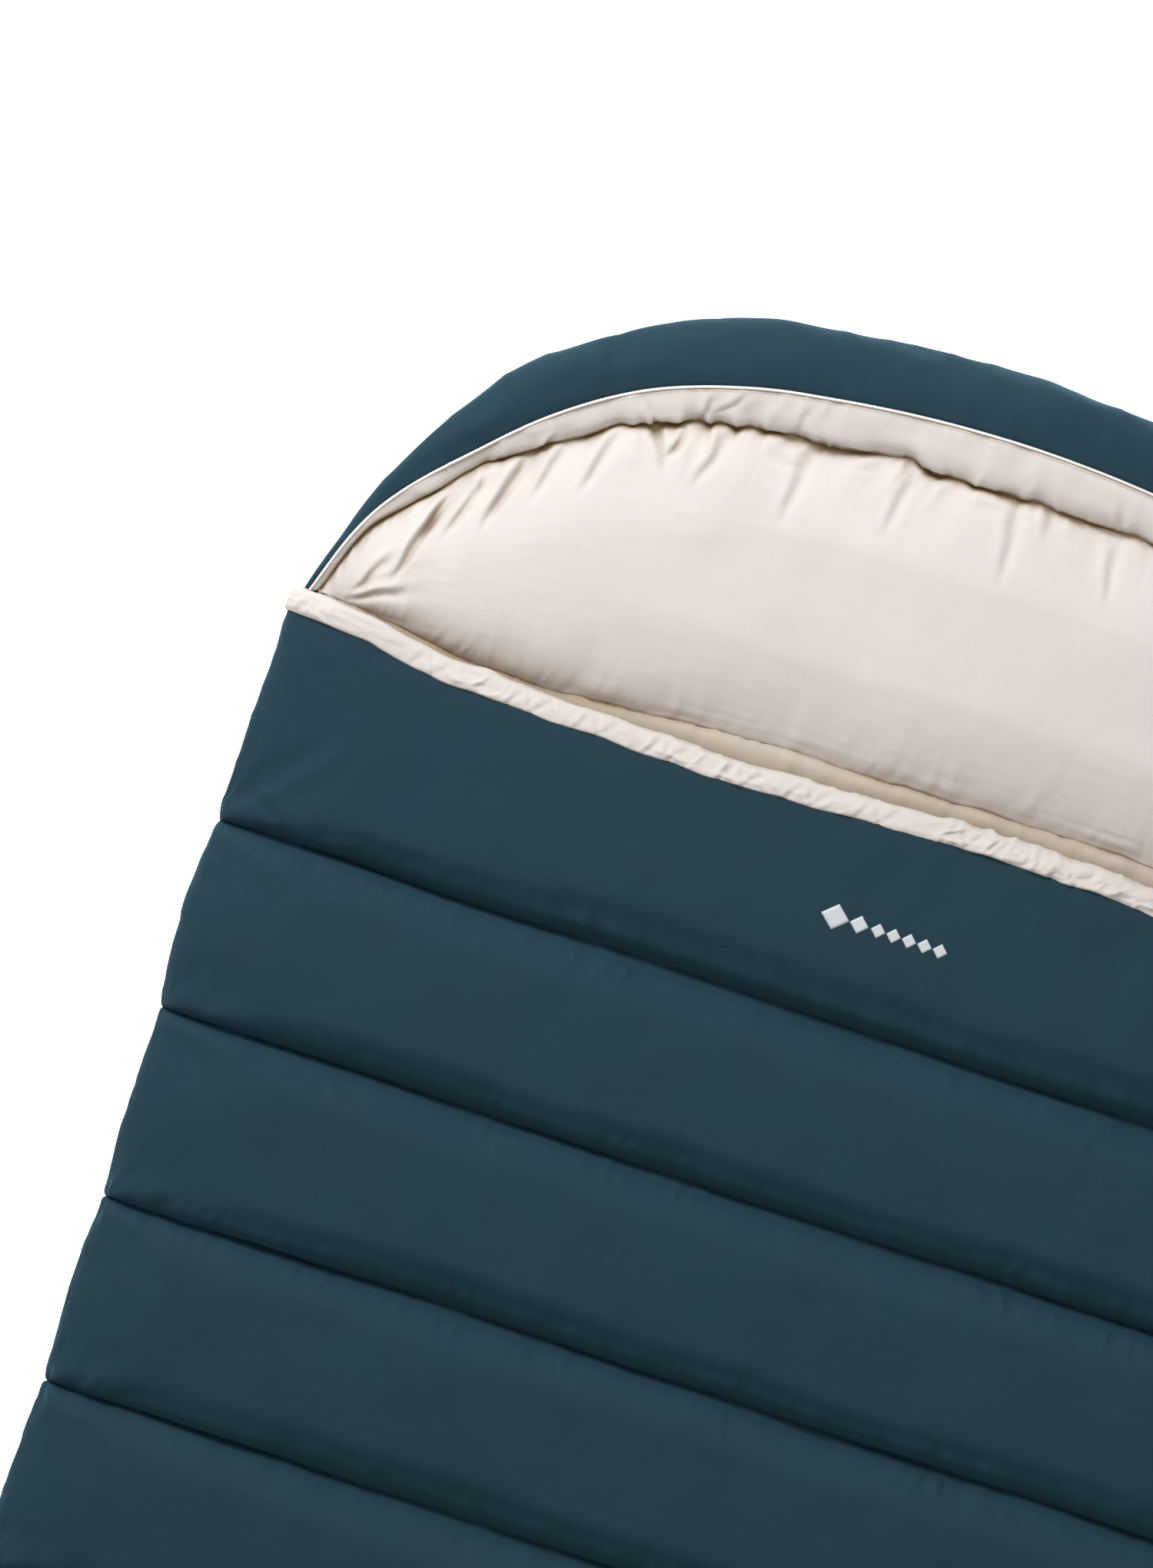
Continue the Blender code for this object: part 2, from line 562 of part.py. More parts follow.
# ---------------------------------------------------------------- zips
for name, s in (("left", -1), ("right", 1)):
    def zip_strip(label, y0, y1, z, half, mat, at=None):
        x = s * ZIP_X
        block(f"{label}_{name}", (min(x - half, x + half), y0, z[0]), (max(x - half, x + half), y1, z[1]), mat, at)

    low_coil, high_coil = (TAPE_LOW[1] + 0.0003, CHAIN_Z - 0.0007), (CHAIN_Z + 0.0007, TAPE_HIGH[0] - 0.0003)
    zip_strip("zip_tape_back", ZIP_BOTTOM, ZIP_TOP, TAPE_LOW, 0.0004, TAPE)
    zip_strip("zip_coil_back", ZIP_BOTTOM + 0.006, ZIP_TOP - 0.006, low_coil, 0.0015, COIL)
    zip_strip("zip_tape_cover", ZIP_BOTTOM, Y_FOLD - HALF_GAP, TAPE_HIGH, 0.0004, TAPE)
    zip_strip("zip_coil_cover", ZIP_BOTTOM + 0.006, Y_FOLD - HALF_GAP, high_coil, 0.0015, COIL)
    zip_strip("zip_tape_turndown", Y_FOLD + HALF_GAP, ZIP_TOP, TAPE_HIGH, 0.0004, TAPE, FOLD_AXIS)
    zip_strip("zip_coil_turndown", Y_FOLD + HALF_GAP, ZIP_TOP - 0.006, high_coil, 0.0015, COIL, FOLD_AXIS)
    # end stops: one on each half at the mouth, one across both halves at the foot
    zip_strip("zip_top_stop_back", ZIP_TOP - 0.0055, ZIP_TOP - 0.0005, low_coil, 0.0018, METAL)
    zip_strip("zip_top_stop_turndown", ZIP_TOP - 0.0055, ZIP_TOP - 0.0005, high_coil, 0.0018, METAL, FOLD_AXIS)
    zip_strip("zip_bottom_stop", ZIP_BOTTOM + 0.0005, ZIP_BOTTOM + 0.0055, (low_coil[0], high_coil[1]), 0.0018, METAL)

    # sliders: two plates with inturned flanges, held together by a web between the two coils
    for where, y in (("head", HEAD_SLIDER_Y), ("foot", FOOT_SLIDER_Y)):
        at = (s * ZIP_X, y, CHAIN_Z)
        half = [(0.40, 1.85), (3.40, 1.85), (3.40, 0.75), (4.60, 0.75), (4.60, 3.05), (-4.60, 3.05),
                (-4.60, 0.75), (-3.40, 0.75), (-3.40, 1.85), (-0.40, 1.85)]
        other = [(z, -x) for z, x in half]
        profile = half + [(z, x) for z, x in reversed([(z, x) for z, x in other])]
        outline = [(at[0] + s * x / 1000, at[2] + z / 1000) for z, x in profile]
        if s > 0:
            outline.reverse()
        made = extruded(f"zip_slider_{where}_{name}", outline, y - 0.008, y + 0.008, METAL, at)

        # the slider's bail: an arch over the pin of the puller
        bpy.context.view_layer.update()
        graph = bpy.context.evaluated_depsgraph_get()
        mesh = bpy.data.meshes.new_from_object(made.evaluated_get(graph))
        mesh.transform(made.matrix_world)
        bm = bmesh.new()
        bm.from_mesh(mesh)
        bmesh.ops.remove_doubles(bm, verts=bm.verts, dist=0.00002)
        slider = finish(bm, "slider_body", METAL, at)
        old = made.data
        bpy.data.objects.remove(made)
        bpy.data.curves.remove(old)
        slider.name = f"zip_slider_{where}_{name}"
        arch = [(2.60, -4.6), (5.60, -4.6), (5.60, 4.6), (2.60, 4.6), (2.60, 3.2), (4.55, 3.2), (4.55, -3.2), (2.60, -3.2)]
        curve = bpy.data.curves.new("bail", "CURVE")
        curve.dimensions = "2D"
        curve.fill_mode = "BOTH"
        curve.extrude = 0.0016
        spline = curve.splines.new("POLY")
        spline.points.add(len(arch) - 1)
        for p, (x, yy) in zip(spline.points, arch if s > 0 else list(reversed(arch))):
            p.co = (s * x / 1000, yy / 1000, 0, 1)
        spline.use_cyclic_u = True
        helper = bpy.data.objects.new("bail", curve)
        helper.location = at
        collection.objects.link(helper)
        bpy.context.view_layer.update()
        graph = bpy.context.evaluated_depsgraph_get()
        mesh = bpy.data.meshes.new_from_object(helper.evaluated_get(graph))
        mesh.transform(helper.matrix_world)
        bm = bmesh.new()
        bm.from_mesh(mesh)
        bmesh.ops.remove_doubles(bm, verts=bm.verts, dist=0.00002)
        bail = finish(bm, f"bail_{where}_{name}", METAL, at)
        bpy.data.objects.remove(helper)
        bpy.data.curves.remove(curve)
        bail.hide_render = True
        bail.display_type = "WIRE"
        join = slider.modifiers.new("bail", "BOOLEAN")
        join.operation = "UNION"
        join.object = bail

        # puller: a flat frame whose cross pin passes under the bail, with a long grip
        pivot = (at[0] + s * 0.0038, y, at[2])
        ring = [(-0.45, -3.9), (0.45, -3.9), (0.45, -2.3), (0.0, 0.0)]
        bm = bmesh.new()
        bmesh.ops.create_cube(bm, size=1.0)

        def shape(x0, x1, y0, y1, z0, z1, target):
            made_box = bmesh.ops.create_cube(target, size=1.0)
            for v in made_box["verts"]:
                v.co = Vector((x0 + (v.co.x + 0.5) * (x1 - x0), y0 + (v.co.y + 0.5) * (y1 - y0),
                               z0 + (v.co.z + 0.5) * (z1 - z0))) / 1000

        bm.clear()
        shape(-0.45, 0.45, -0.6, 0.6, -3.9, 3.9, bm)
        pin = finish(bm, f"puller_pin_{where}_{name}", METAL)
        pin.location = pivot
        pin.hide_render = True
        pin.display_type = "WIRE"
        bm = bmesh.new()
        shape(-0.45, 0.45, -10.0, 0.6, -4.0, -2.3, bm)
        arm_a = finish(bm, f"puller_arm_low_{where}_{name}", METAL)
        bm = bmesh.new()
        shape(-0.45, 0.45, -10.0, 0.6, 2.3, 4.0, bm)
        arm_b = finish(bm, f"puller_arm_high_{where}_{name}", METAL)
        for arm in (arm_a, arm_b):
            arm.location = pivot
            arm.hide_render = True
            arm.display_type = "WIRE"
        bm = bmesh.new()
        shape(-0.6, 0.6, -34.0, -8.5, -4.0, 4.0, bm)
        grip = finish(bm, f"zip_puller_{where}_{name}", GRIP)
        grip.location = pivot
        for k, piece in enumerate((arm_a, arm_b, pin)):
            union = grip.modifiers.new(f"frame_{k}", "BOOLEAN")
            union.operation = "UNION"
            union.object = piece

# ---------------------------------------------------------------- care label at the foot, inside the left zip
block("care_label", (-ZIP_X + 0.0042, Y_FOOT + 0.100, 0.0400), (-ZIP_X + 0.0046, Y_FOOT + 0.140, 0.0548), LABEL)

# helpers sit apart from the part
cutters = bpy.data.collections.new("cutters")
bpy.context.scene.collection.children.link(cutters)
for obj in list(collection.objects):
    if obj.hide_render:
        collection.objects.unlink(obj)
        cutters.objects.link(obj)
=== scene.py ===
"""Double camp sleeping quilt bag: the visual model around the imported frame."""
import math
import time

import bpy
import numpy as np
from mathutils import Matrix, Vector


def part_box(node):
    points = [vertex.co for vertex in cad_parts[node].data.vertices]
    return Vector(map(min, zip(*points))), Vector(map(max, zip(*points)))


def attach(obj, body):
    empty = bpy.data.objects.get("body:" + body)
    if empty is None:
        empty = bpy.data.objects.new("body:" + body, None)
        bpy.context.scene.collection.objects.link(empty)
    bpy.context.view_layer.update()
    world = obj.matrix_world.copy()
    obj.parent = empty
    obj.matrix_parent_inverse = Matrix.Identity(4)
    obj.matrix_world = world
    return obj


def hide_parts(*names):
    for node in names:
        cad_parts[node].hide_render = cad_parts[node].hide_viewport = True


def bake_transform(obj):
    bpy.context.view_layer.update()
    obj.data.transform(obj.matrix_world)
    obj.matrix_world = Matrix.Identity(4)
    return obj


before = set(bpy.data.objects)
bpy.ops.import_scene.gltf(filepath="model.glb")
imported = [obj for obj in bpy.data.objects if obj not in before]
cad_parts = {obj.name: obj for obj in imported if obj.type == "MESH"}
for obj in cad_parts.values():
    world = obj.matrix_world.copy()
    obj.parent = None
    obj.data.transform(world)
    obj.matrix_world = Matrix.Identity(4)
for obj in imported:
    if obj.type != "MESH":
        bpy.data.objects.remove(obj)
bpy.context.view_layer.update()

# ---------------------------------------------------------------- places, from the frame
Y_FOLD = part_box("turndown_outer_shell")[0].y - 0.0003
Y_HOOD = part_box("hood_base_insulation")[0].y - 0.0003
PITCH = 0.2176
SEAMS = [Y_FOLD + PITCH - PITCH * k for k in range(7)]  # SEAMS[1] is the fold
Y_FOOT = -1.1335
Y_BAND_REAR = Y_HOOD - 0.0510
Y_BAND_FRONT = Y_HOOD - 0.0250
EDGE = 0.7165  # half width at a stitch line
BULGE = 0.0080  # how far each panel swells past that
FLAT = 0.636  # where the side roll starts
Z_STITCH = 0.0612
PUFF = 0.0306


# ---------------------------------------------------------------- noise
def _hash(ix, iy, seed):
    n = (ix.astype(np.int64) * 374761393 + iy.astype(np.int64) * 668265263 + seed * 974711) & 0xFFFFFFFF
    n = ((n ^ (n >> 13)) * 1274126177) & 0xFFFFFFFF
    return ((n ^ (n >> 16)) & 0xFFFF) / 32767.5 - 1.0


def noise(x, y=0.0, seed=0):
    """Smooth noise from -1 to 1 on a unit lattice."""
    x, y = np.broadcast_arrays(np.asarray(x, float), np.asarray(y, float))
    ix, iy = np.floor(x), np.floor(y)
    fx, fy = x - ix, y - iy
    u, v = fx * fx * fx * (fx * (fx * 6 - 15) + 10), fy * fy * fy * (fy * (fy * 6 - 15) + 10)
    a, b = _hash(ix, iy, seed), _hash(ix + 1, iy, seed)
    c, d = _hash(ix, iy + 1, seed), _hash(ix + 1, iy + 1, seed)
    return (a * (1 - u) + b * u) * (1 - v) + (c * (1 - u) + d * u) * v


def fbm(x, y=0.0, seed=0, octaves=3):
    total, size, scale = 0.0, 1.0, 1.0
    for k in range(octaves):
        total = total + size * noise(np.asarray(x) * scale, np.asarray(y) * scale, seed + 17 * k)
        size, scale = size * 0.5, scale * 2.03
    return total


def ridged(x, y=0.0, seed=0):
    """Sharp crests between soft valleys, from -1 to 1."""
    return 1.0 - 2.0 * np.abs(noise(x, y, seed))


def smooth(t):
    t = np.clip(t, 0.0, 1.0)
    return t * t * (3 - 2 * t)


def bump(d, reach):
    """0 at the stitch, 1 at distance reach from it, then fading."""
    q = np.asarray(d) / reach
    return q * np.exp(1.0 - q)


def creased(p, creases):
    """Height of a set of creases at the points p: a crisp valley with a soft ridge beside it."""
    total = np.zeros(p.shape[:-1])
    for cx, cy, dx, dy, deep, wide in creases:
        length = math.hypot(dx, dy)
        ux, uy = dx / length, dy / length
        along = ((p[..., 0] - cx) * ux + (p[..., 1] - Y_HOOD - cy) * uy) / length
        off = -(p[..., 0] - cx) * uy + (p[..., 1] - Y_HOOD - cy) * ux
        off = off + 0.25 * length * noise(along * 1.2, cx * 9, 78) * 0.3
        fade = np.exp(-((np.abs(along) * 0.95) ** 4))
        w = wide * (0.65 + 0.5 * np.clip(along * 0.5 + 0.5, 0, 1))
        total = total + fade * (-deep * np.exp(-((off / w) ** 2)) + 0.75 * deep * np.exp(-(((off - 1.7 * w) / (1.1 * w)) ** 2)))
    return total


# ---------------------------------------------------------------- meshes
def surface(name, points, mat, uv=None, ring=False, caps=False, up=None, thick=0.0, offset=-1.0):
    """A quad surface through points[row, column]; ring joins the last column to the first."""
    rows, cols = points.shape[:2]
    verts = points.reshape(-1, 3)
    index = np.arange(rows * cols).reshape(rows, cols)
    if ring:
        index = np.concatenate([index, index[:, :1]], axis=1)
    quads = np.stack([index[:-1, :-1], index[:-1, 1:], index[1:, 1:], index[1:, :-1]], -1).reshape(-1, 4)
    if uv is None:
        uv = points[..., :2]
    if ring and uv.shape[1] == cols:
        uv = np.concatenate([uv, uv[:, -1:] + (uv[:, -1:] - uv[:, -2:-1])], axis=1)
    corner_uv = np.stack([uv[:-1, :-1], uv[:-1, 1:], uv[1:, 1:], uv[1:, :-1]], -2).reshape(-1, 2)
    loops, sizes, loop_uv = quads.reshape(-1), np.full(len(quads), 4), corner_uv
    if caps and caps is not True:  # ends closed by a strip between the first "caps" columns and the rest
        extra, extra_uv = [], []
        for row, flip in ((0, True), (rows - 1, False)):
            over = [int(index[row, c]) for c in range(caps)]
            under = [int(index[row, c]) for c in range(cols - 1, caps - 1, -1)]
            i = j = 0
            while i < len(over) - 1 or j < len(under) - 1:
                go_over = j == len(under) - 1 or (i < len(over) - 1 and verts[over[i + 1]][0] <= verts[under[j + 1]][0])
                tri = [over[i], over[i + 1], under[j]] if go_over else [over[i], under[j + 1], under[j]]
                extra += tri if flip else tri[::-1]
                extra_uv += [verts[q][:2] for q in (tri if flip else tri[::-1])]
                i, j = (i + 1, j) if go_over else (i, j + 1)
        loops = np.concatenate([loops, extra])
        sizes = np.concatenate([sizes, np.full(len(extra) // 3, 3)])
        loop_uv = np.concatenate([loop_uv, np.array(extra_uv)])
    elif caps:
        extra, extra_uv = [], []
        verts = np.concatenate([verts, points[0].mean(0)[None], points[-1].mean(0)[None]])
        for row, centre, flip in ((0, rows * cols, True), (rows - 1, rows * cols + 1, False)):
            for c in range(cols):
                a, b = index[row, c], index[row, c + 1]
                tri = [b, a, centre] if flip else [a, b, centre]
                extra += tri
                extra_uv += [verts[i][:2] for i in tri]
        loops = np.concatenate([loops, extra])
        sizes = np.concatenate([sizes, np.full(2 * cols, 3)])
        loop_uv = np.concatenate([loop_uv, np.array(extra_uv)])
    return raw_mesh(name, verts, loops, sizes, loop_uv, mat, up, thick, offset, closed=bool(ring and caps))


def raw_mesh(name, verts, loops, sizes, loop_uv, mat, up=None, thick=0.0, offset=-1.0, closed=False):
    starts = np.concatenate([[0], np.cumsum(sizes)[:-1]])
    # which way it faces
    tri_a, tri_b, tri_c = (verts[loops[starts + k]] for k in range(3))
    n = np.cross(tri_b - tri_a, tri_c - tri_a)
    if closed:
        wrong = (tri_a * n).sum() < 0
    elif up is not None:
        wrong = (n @ np.array(up, float)).sum() < 0
    else:
        wrong = False
    if wrong:
        order = np.concatenate([np.arange(s + k - 1, s - 1, -1) for s, k in zip(starts, sizes)])
        loops = loops[order]
        loop_uv = loop_uv[order]
    mesh = bpy.data.meshes.new(name)
    mesh.vertices.add(len(verts))
    mesh.vertices.foreach_set("co", verts.astype(np.float32).ravel())
    mesh.loops.add(len(loops))
    mesh.loops.foreach_set("vertex_index", loops.astype(np.int32))
    mesh.polygons.add(len(sizes))
    mesh.polygons.foreach_set("loop_start", starts.astype(np.int32))
    mesh.update(calc_edges=True)
    layer = mesh.uv_layers.new(name="UVMap")
    layer.data.foreach_set("uv", loop_uv.astype(np.float32).ravel())
    mesh.validate()
    mesh.shade_smooth()
    mesh.materials.append(mat)
    obj = bpy.data.objects.new(name, mesh)
    bpy.context.scene.collection.objects.link(obj)
    if thick:
        solid = obj.modifiers.new("cloth", "SOLIDIFY")
        solid.thickness = thick
        solid.offset = offset
    return obj


def tube(name, path, radius, mat, sides=8, flat=1.0, wobble=None):
    """A round cord through path, closed at both ends."""
    path = np.asarray(path, float)
    along = np.gradient(path, axis=0)
    along /= np.linalg.norm(along, axis=1)[:, None]
    side = np.cross(along, [0, 0, 1.0])
    side /= np.maximum(np.linalg.norm(side, axis=1)[:, None], 1e-9)
    over = np.cross(side, along)
    radius = np.broadcast_to(np.asarray(radius, float), (len(path),))
    a = np.linspace(0, 2 * np.pi, sides, endpoint=False)
    r = radius[:, None] * np.ones((1, sides))
    if wobble is not None:
        r = r + wobble(np.arange(len(path))[:, None], a[None, :])
    points = (path[:, None] + side[:, None] * (r * np.cos(a))[..., None]
              + over[:, None] * (flat * r * np.sin(a))[..., None])
    run = np.concatenate([[0], np.cumsum(np.linalg.norm(np.diff(path, axis=0), axis=1))])
    uv = np.stack(np.broadcast_arrays(a[None, :] * radius.mean(), run[:, None]), -1)
    return surface(name, points, mat, uv=uv, ring=True, caps=True)


def resample(path, pitch, start=0.0):
    run = np.concatenate([[0], np.cumsum(np.linalg.norm(np.diff(path, axis=0), axis=1))])
    at = np.arange(start, run[-1], pitch)
    return np.stack([np.interp(at, run, path[:, k]) for k in range(3)], -1)


def stitches(name, rows, mat, pitch=0.0034, length=0.0024, width=0.00055, lift=0.00025, up=(0, 0, 1)):
    """Lines of separate thread stitches along each path in rows."""
    verts, loops, sizes, uvs = [], [], [], []
    up = np.array(up, float)
    for path in rows:
        ends_a = resample(np.asarray(path), pitch)
        ends_b = resample(np.asarray(path), pitch, length)
        n = min(len(ends_a), len(ends_b))
        a, b = ends_a[:n], ends_b[:n]
        d = b - a
        d /= np.maximum(np.linalg.norm(d, axis=1)[:, None], 1e-9)
        side = np.cross(d, up)
        side /= np.maximum(np.linalg.norm(side, axis=1)[:, None], 1e-9)
        over = np.cross(side, d)
        base = sum(len(v) for v in verts)
        block = []
        for p, w, h in ((a, 0.45, 0.0), (a * 0.75 + b * 0.25, 1.0, 1.0), (a * 0.25 + b * 0.75, 1.0, 1.0), (b, 0.45, 0.0)):
            c = p + over * (lift + h * width * 0.5)
            for sa, oa in ((-1, 0), (0, 1), (1, 0), (0, -1)):
                block.append(c + side * (sa * w * width / 2) + over * (oa * w * width / 2))
        block = np.stack(block, 1)  # stitch, 16, 3
        verts.append(block.reshape(-1, 3))
        one = []
        for r in range(3):
            for k in range(4):
                q = (k + 1) % 4
                one.append([r * 4 + k, r * 4 + q, r * 4 + 4 + q, r * 4 + 4 + k])
        one.append([3, 2, 1, 0])
        one.append([12, 13, 14, 15])
        one = np.array(one)
        faces = (one[None] + (base + 16 * np.arange(n))[:, None, None]).reshape(-1, 4)
        loops.append(faces.reshape(-1))
        sizes.append(np.full(len(faces), 4))
    verts = np.concatenate(verts)
    loops = np.concatenate(loops)
    sizes = np.concatenate(sizes)
    return raw_mesh(name, verts, loops, sizes, verts[loops][:, :2], mat, closed=True)


def boxes(name, centres, half, mat, taper=0.8):
    """Separate little blocks with chamfered ends, such as the teeth of a zip."""
    centres = np.asarray(centres, float)
    half = np.broadcast_to(np.asarray(half, float), centres.shape)
    shape = []
    for z, w in ((-1, taper), (-0.6, 1.0), (0.6, 1.0), (1, taper)):
        for sx, sy in ((-1, -1), (1, -1), (1, 1), (-1, 1)):
            shape.append((sx * w, sy * w, z))
    shape = np.array(shape)
    verts = (centres[:, None] + shape[None] * half[:, None]).reshape(-1, 3)
    one = []
    for r in range(3):
        for k in range(4):
            q = (k + 1) % 4
            one.append([r * 4 + k, r * 4 + q, r * 4 + 4 + q, r * 4 + 4 + k])
    one += [[3, 2, 1, 0], [12, 13, 14, 15]]
    faces = (np.array(one)[None] + (16 * np.arange(len(centres)))[:, None, None]).reshape(-1, 4)
    return raw_mesh(name, verts, faces.reshape(-1), np.full(len(faces), 4), verts[faces.reshape(-1)][:, 1:], mat, closed=True)


# ---------------------------------------------------------------- materials
def cloth(name, colour, rough, weave=0.00055, weave_depth=0.25, variation=0.06, sheen=0.0, sheen_tint=None,
          mottling=0.05, crinkle=0.0, coordinate="UV", specular=0.25,
          shade=None, reach=0.03, shut=0.05, full=0.78, seam=None, groove_shade_reach=0.005, groove_shade_full=0.80):
    """Woven cloth: two crossed sets of threads as bump and faint colour, slow colour variation, soft sheen, and, when
    shade is given, painted shade that darkens the colour in folds, gaps and stitched grooves.
    """
    m = bpy.data.materials.new(name)
    m.use_nodes = True
    t = m.node_tree
    n, link = t.nodes, t.links
    shader = n["Principled BSDF"]
    shader.inputs["Roughness"].default_value = rough
    shader.inputs["Specular IOR Level"].default_value = specular
    if sheen:
        shader.inputs["Sheen Weight"].default_value = sheen
        shader.inputs["Sheen Roughness"].default_value = 0.45
        shader.inputs["Sheen Tint"].default_value = (*(sheen_tint or (1, 1, 1)), 1)
    place = n.new("ShaderNodeTexCoord")
    src = place.outputs[coordinate]

    def wave(axis):
        w = n.new("ShaderNodeTexWave")
        w.wave_type = "BANDS"
        w.bands_direction = axis
        w.wave_profile = "SIN"
        w.inputs["Scale"].default_value = 1.0 / (weave * 3.1831) if weave else 1.0
        w.inputs["Distortion"].default_value = 0.6
        w.inputs["Detail"].default_value = 1.0
        w.inputs["Detail Scale"].default_value = 0.4
        link.new(src, w.inputs["Vector"])
        return w

    warp, weft = wave("X"), wave("Y")
    both = n.new("ShaderNodeMath")
    both.operation = "MULTIPLY"
    link.new(warp.outputs["Fac"], both.inputs[0])
    link.new(weft.outputs["Fac"], both.inputs[1])
    slow = n.new("ShaderNodeTexNoise")
    slow.inputs["Scale"].default_value = 9.0
    slow.inputs["Detail"].default_value = 4.0
    slow.inputs["Roughness"].default_value = 0.55
    link.new(src, slow.inputs["Vector"])
    fine = n.new("ShaderNodeTexNoise")
    fine.inputs["Scale"].default_value = 620.0
    fine.inputs["Detail"].default_value = 2.0
    link.new(src, fine.inputs["Vector"])
    # slow + fine + weave -> factor round 0.5
    mix = n.new("ShaderNodeMath")
    mix.operation = "MULTIPLY_ADD"
    link.new(fine.outputs["Fac"], mix.inputs[0])
    mix.inputs[1].default_value = mottling / max(variation, 1e-6)
    link.new(slow.outputs["Fac"], mix.inputs[2])
    more = n.new("ShaderNodeMath")
    more.operation = "MULTIPLY_ADD"
    link.new(both.outputs[0], more.inputs[0])
    more.inputs[1].default_value = 0.25
    link.new(mix.outputs[0], more.inputs[2])
    ramp = n.new("ShaderNodeValToRGB")
    c = np.array(colour)
    low, high = c * (1 - variation * 1.6), c * (1 + variation * 1.6)
    ramp.color_ramp.elements[0].position = 0.25
    ramp.color_ramp.elements[0].color = (*low, 1)
    ramp.color_ramp.elements[1].position = 1.15 if False else 1.0
    ramp.color_ramp.elements[1].color = (*np.minimum(high, 1.0), 1)
    link.new(more.outputs[0], ramp.inputs["Fac"])
    if shade:  # painted shade: where an ambient occlusion node finds folds, creases and gaps, the colour is multiplied towards the deeper, warmer shade colour
        fold = n.new("ShaderNodeAmbientOcclusion")
        fold.samples = 8
        fold.inputs["Distance"].default_value = reach
        open_share = n.new("ShaderNodeMapRange")
        open_share.interpolation_type = "SMOOTHSTEP"
        open_share.inputs["From Min"].default_value = shut
        open_share.inputs["From Max"].default_value = full
        link.new(fold.outputs["AO"], open_share.inputs["Value"])
        tone = n.new("ShaderNodeMix")
        tone.data_type = "RGBA"
        tone.blend_type = "MULTIPLY"
        tone.inputs["Factor"].default_value = 1.0
        depth = n.new("ShaderNodeMix")
        depth.data_type = "RGBA"
        depth.inputs[6].default_value = (*shade, 1)
        depth.inputs[7].default_value = (1, 1, 1, 1)
        link.new(open_share.outputs["Result"], depth.inputs["Factor"])
        link.new(ramp.outputs["Color"], tone.inputs[6])
        link.new(depth.outputs[2], tone.inputs[7])
        result = tone.outputs[2]
        if seam:  # painted shade: at the bottom of a stitched groove, found by a short-reach occlusion node, the colour is multiplied darker still
            groove = n.new("ShaderNodeAmbientOcclusion")
            groove.samples = 8
            groove.inputs["Distance"].default_value = groove_shade_reach
            clear = n.new("ShaderNodeMapRange")
            clear.interpolation_type = "SMOOTHSTEP"
            clear.inputs["From Min"].default_value = 0.30
            clear.inputs["From Max"].default_value = groove_shade_full
            link.new(groove.outputs["AO"], clear.inputs["Value"])
            line = n.new("ShaderNodeMix")
            line.data_type = "RGBA"
            line.inputs[6].default_value = (*seam, 1)
            line.inputs[7].default_value = (1, 1, 1, 1)
            link.new(clear.outputs["Result"], line.inputs["Factor"])
            last = n.new("ShaderNodeMix")
            last.data_type = "RGBA"
            last.blend_type = "MULTIPLY"
            last.inputs["Factor"].default_value = 1.0
            link.new(result, last.inputs[6])
            link.new(line.outputs[2], last.inputs[7])
            result = last.outputs[2]
        link.new(result, shader.inputs["Base Color"])
    else:
        link.new(ramp.outputs["Color"], shader.inputs["Base Color"])
    gloss = n.new("ShaderNodeMapRange")
    gloss.inputs["From Min"].default_value = 0.3
    gloss.inputs["From Max"].default_value = 0.7
    gloss.inputs["To Min"].default_value = rough - 0.05
    gloss.inputs["To Max"].default_value = rough + 0.06
    link.new(slow.outputs["Fac"], gloss.inputs["Value"])
    link.new(gloss.outputs["Result"], shader.inputs["Roughness"])
    threads = n.new("ShaderNodeBump")
    threads.inputs["Strength"].default_value = weave_depth
    threads.inputs["Distance"].default_value = weave * 0.35
    link.new(both.outputs[0], threads.inputs["Height"])
    last = threads
    if crinkle:
        rumple = n.new("ShaderNodeTexNoise")
        rumple.inputs["Scale"].default_value = 55.0
        rumple.inputs["Detail"].default_value = 3.0
        rumple.inputs["Roughness"].default_value = 0.5
        rumple.inputs["Distortion"].default_value = 0.8
        link.new(src, rumple.inputs["Vector"])
        folds = n.new("ShaderNodeBump")
        folds.inputs["Strength"].default_value = crinkle
        folds.inputs["Distance"].default_value = 0.004
        link.new(rumple.outputs["Fac"], folds.inputs["Height"])
        link.new(threads.outputs["Normal"], folds.inputs["Normal"])
        last = folds
    link.new(last.outputs["Normal"], shader.inputs["Normal"])
    return m


def hard(name, colour, rough, metallic=0.0, grain=900.0, depth=0.12, variation=0.12):
    m = bpy.data.materials.new(name)
    m.use_nodes = True
    t = m.node_tree
    n, link = t.nodes, t.links
    shader = n["Principled BSDF"]
    shader.inputs["Metallic"].default_value = metallic
    place = n.new("ShaderNodeTexCoord")
    spots = n.new("ShaderNodeTexNoise")
    spots.inputs["Scale"].default_value = grain
    spots.inputs["Detail"].default_value = 3.0
    link.new(place.outputs["Object"], spots.inputs["Vector"])
    ramp = n.new("ShaderNodeValToRGB")
    c = np.array(colour)
    ramp.color_ramp.elements[0].position = 0.3
    ramp.color_ramp.elements[0].color = (*(c * (1 - variation)), 1)
    ramp.color_ramp.elements[1].position = 0.7
    ramp.color_ramp.elements[1].color = (*np.minimum(c * (1 + variation), 1), 1)
    link.new(spots.outputs["Fac"], ramp.inputs["Fac"])
    link.new(ramp.outputs["Color"], shader.inputs["Base Color"])
    gloss = n.new("ShaderNodeMapRange")
    gloss.inputs["To Min"].default_value = rough - 0.07
    gloss.inputs["To Max"].default_value = rough + 0.08
    link.new(spots.outputs["Fac"], gloss.inputs["Value"])
    link.new(gloss.outputs["Result"], shader.inputs["Roughness"])
    rough_bump = n.new("ShaderNodeBump")
    rough_bump.inputs["Strength"].default_value = depth
    rough_bump.inputs["Distance"].default_value = 0.0002
    link.new(spots.outputs["Fac"], rough_bump.inputs["Height"])
    link.new(rough_bump.outputs["Normal"], shader.inputs["Normal"])
    return m
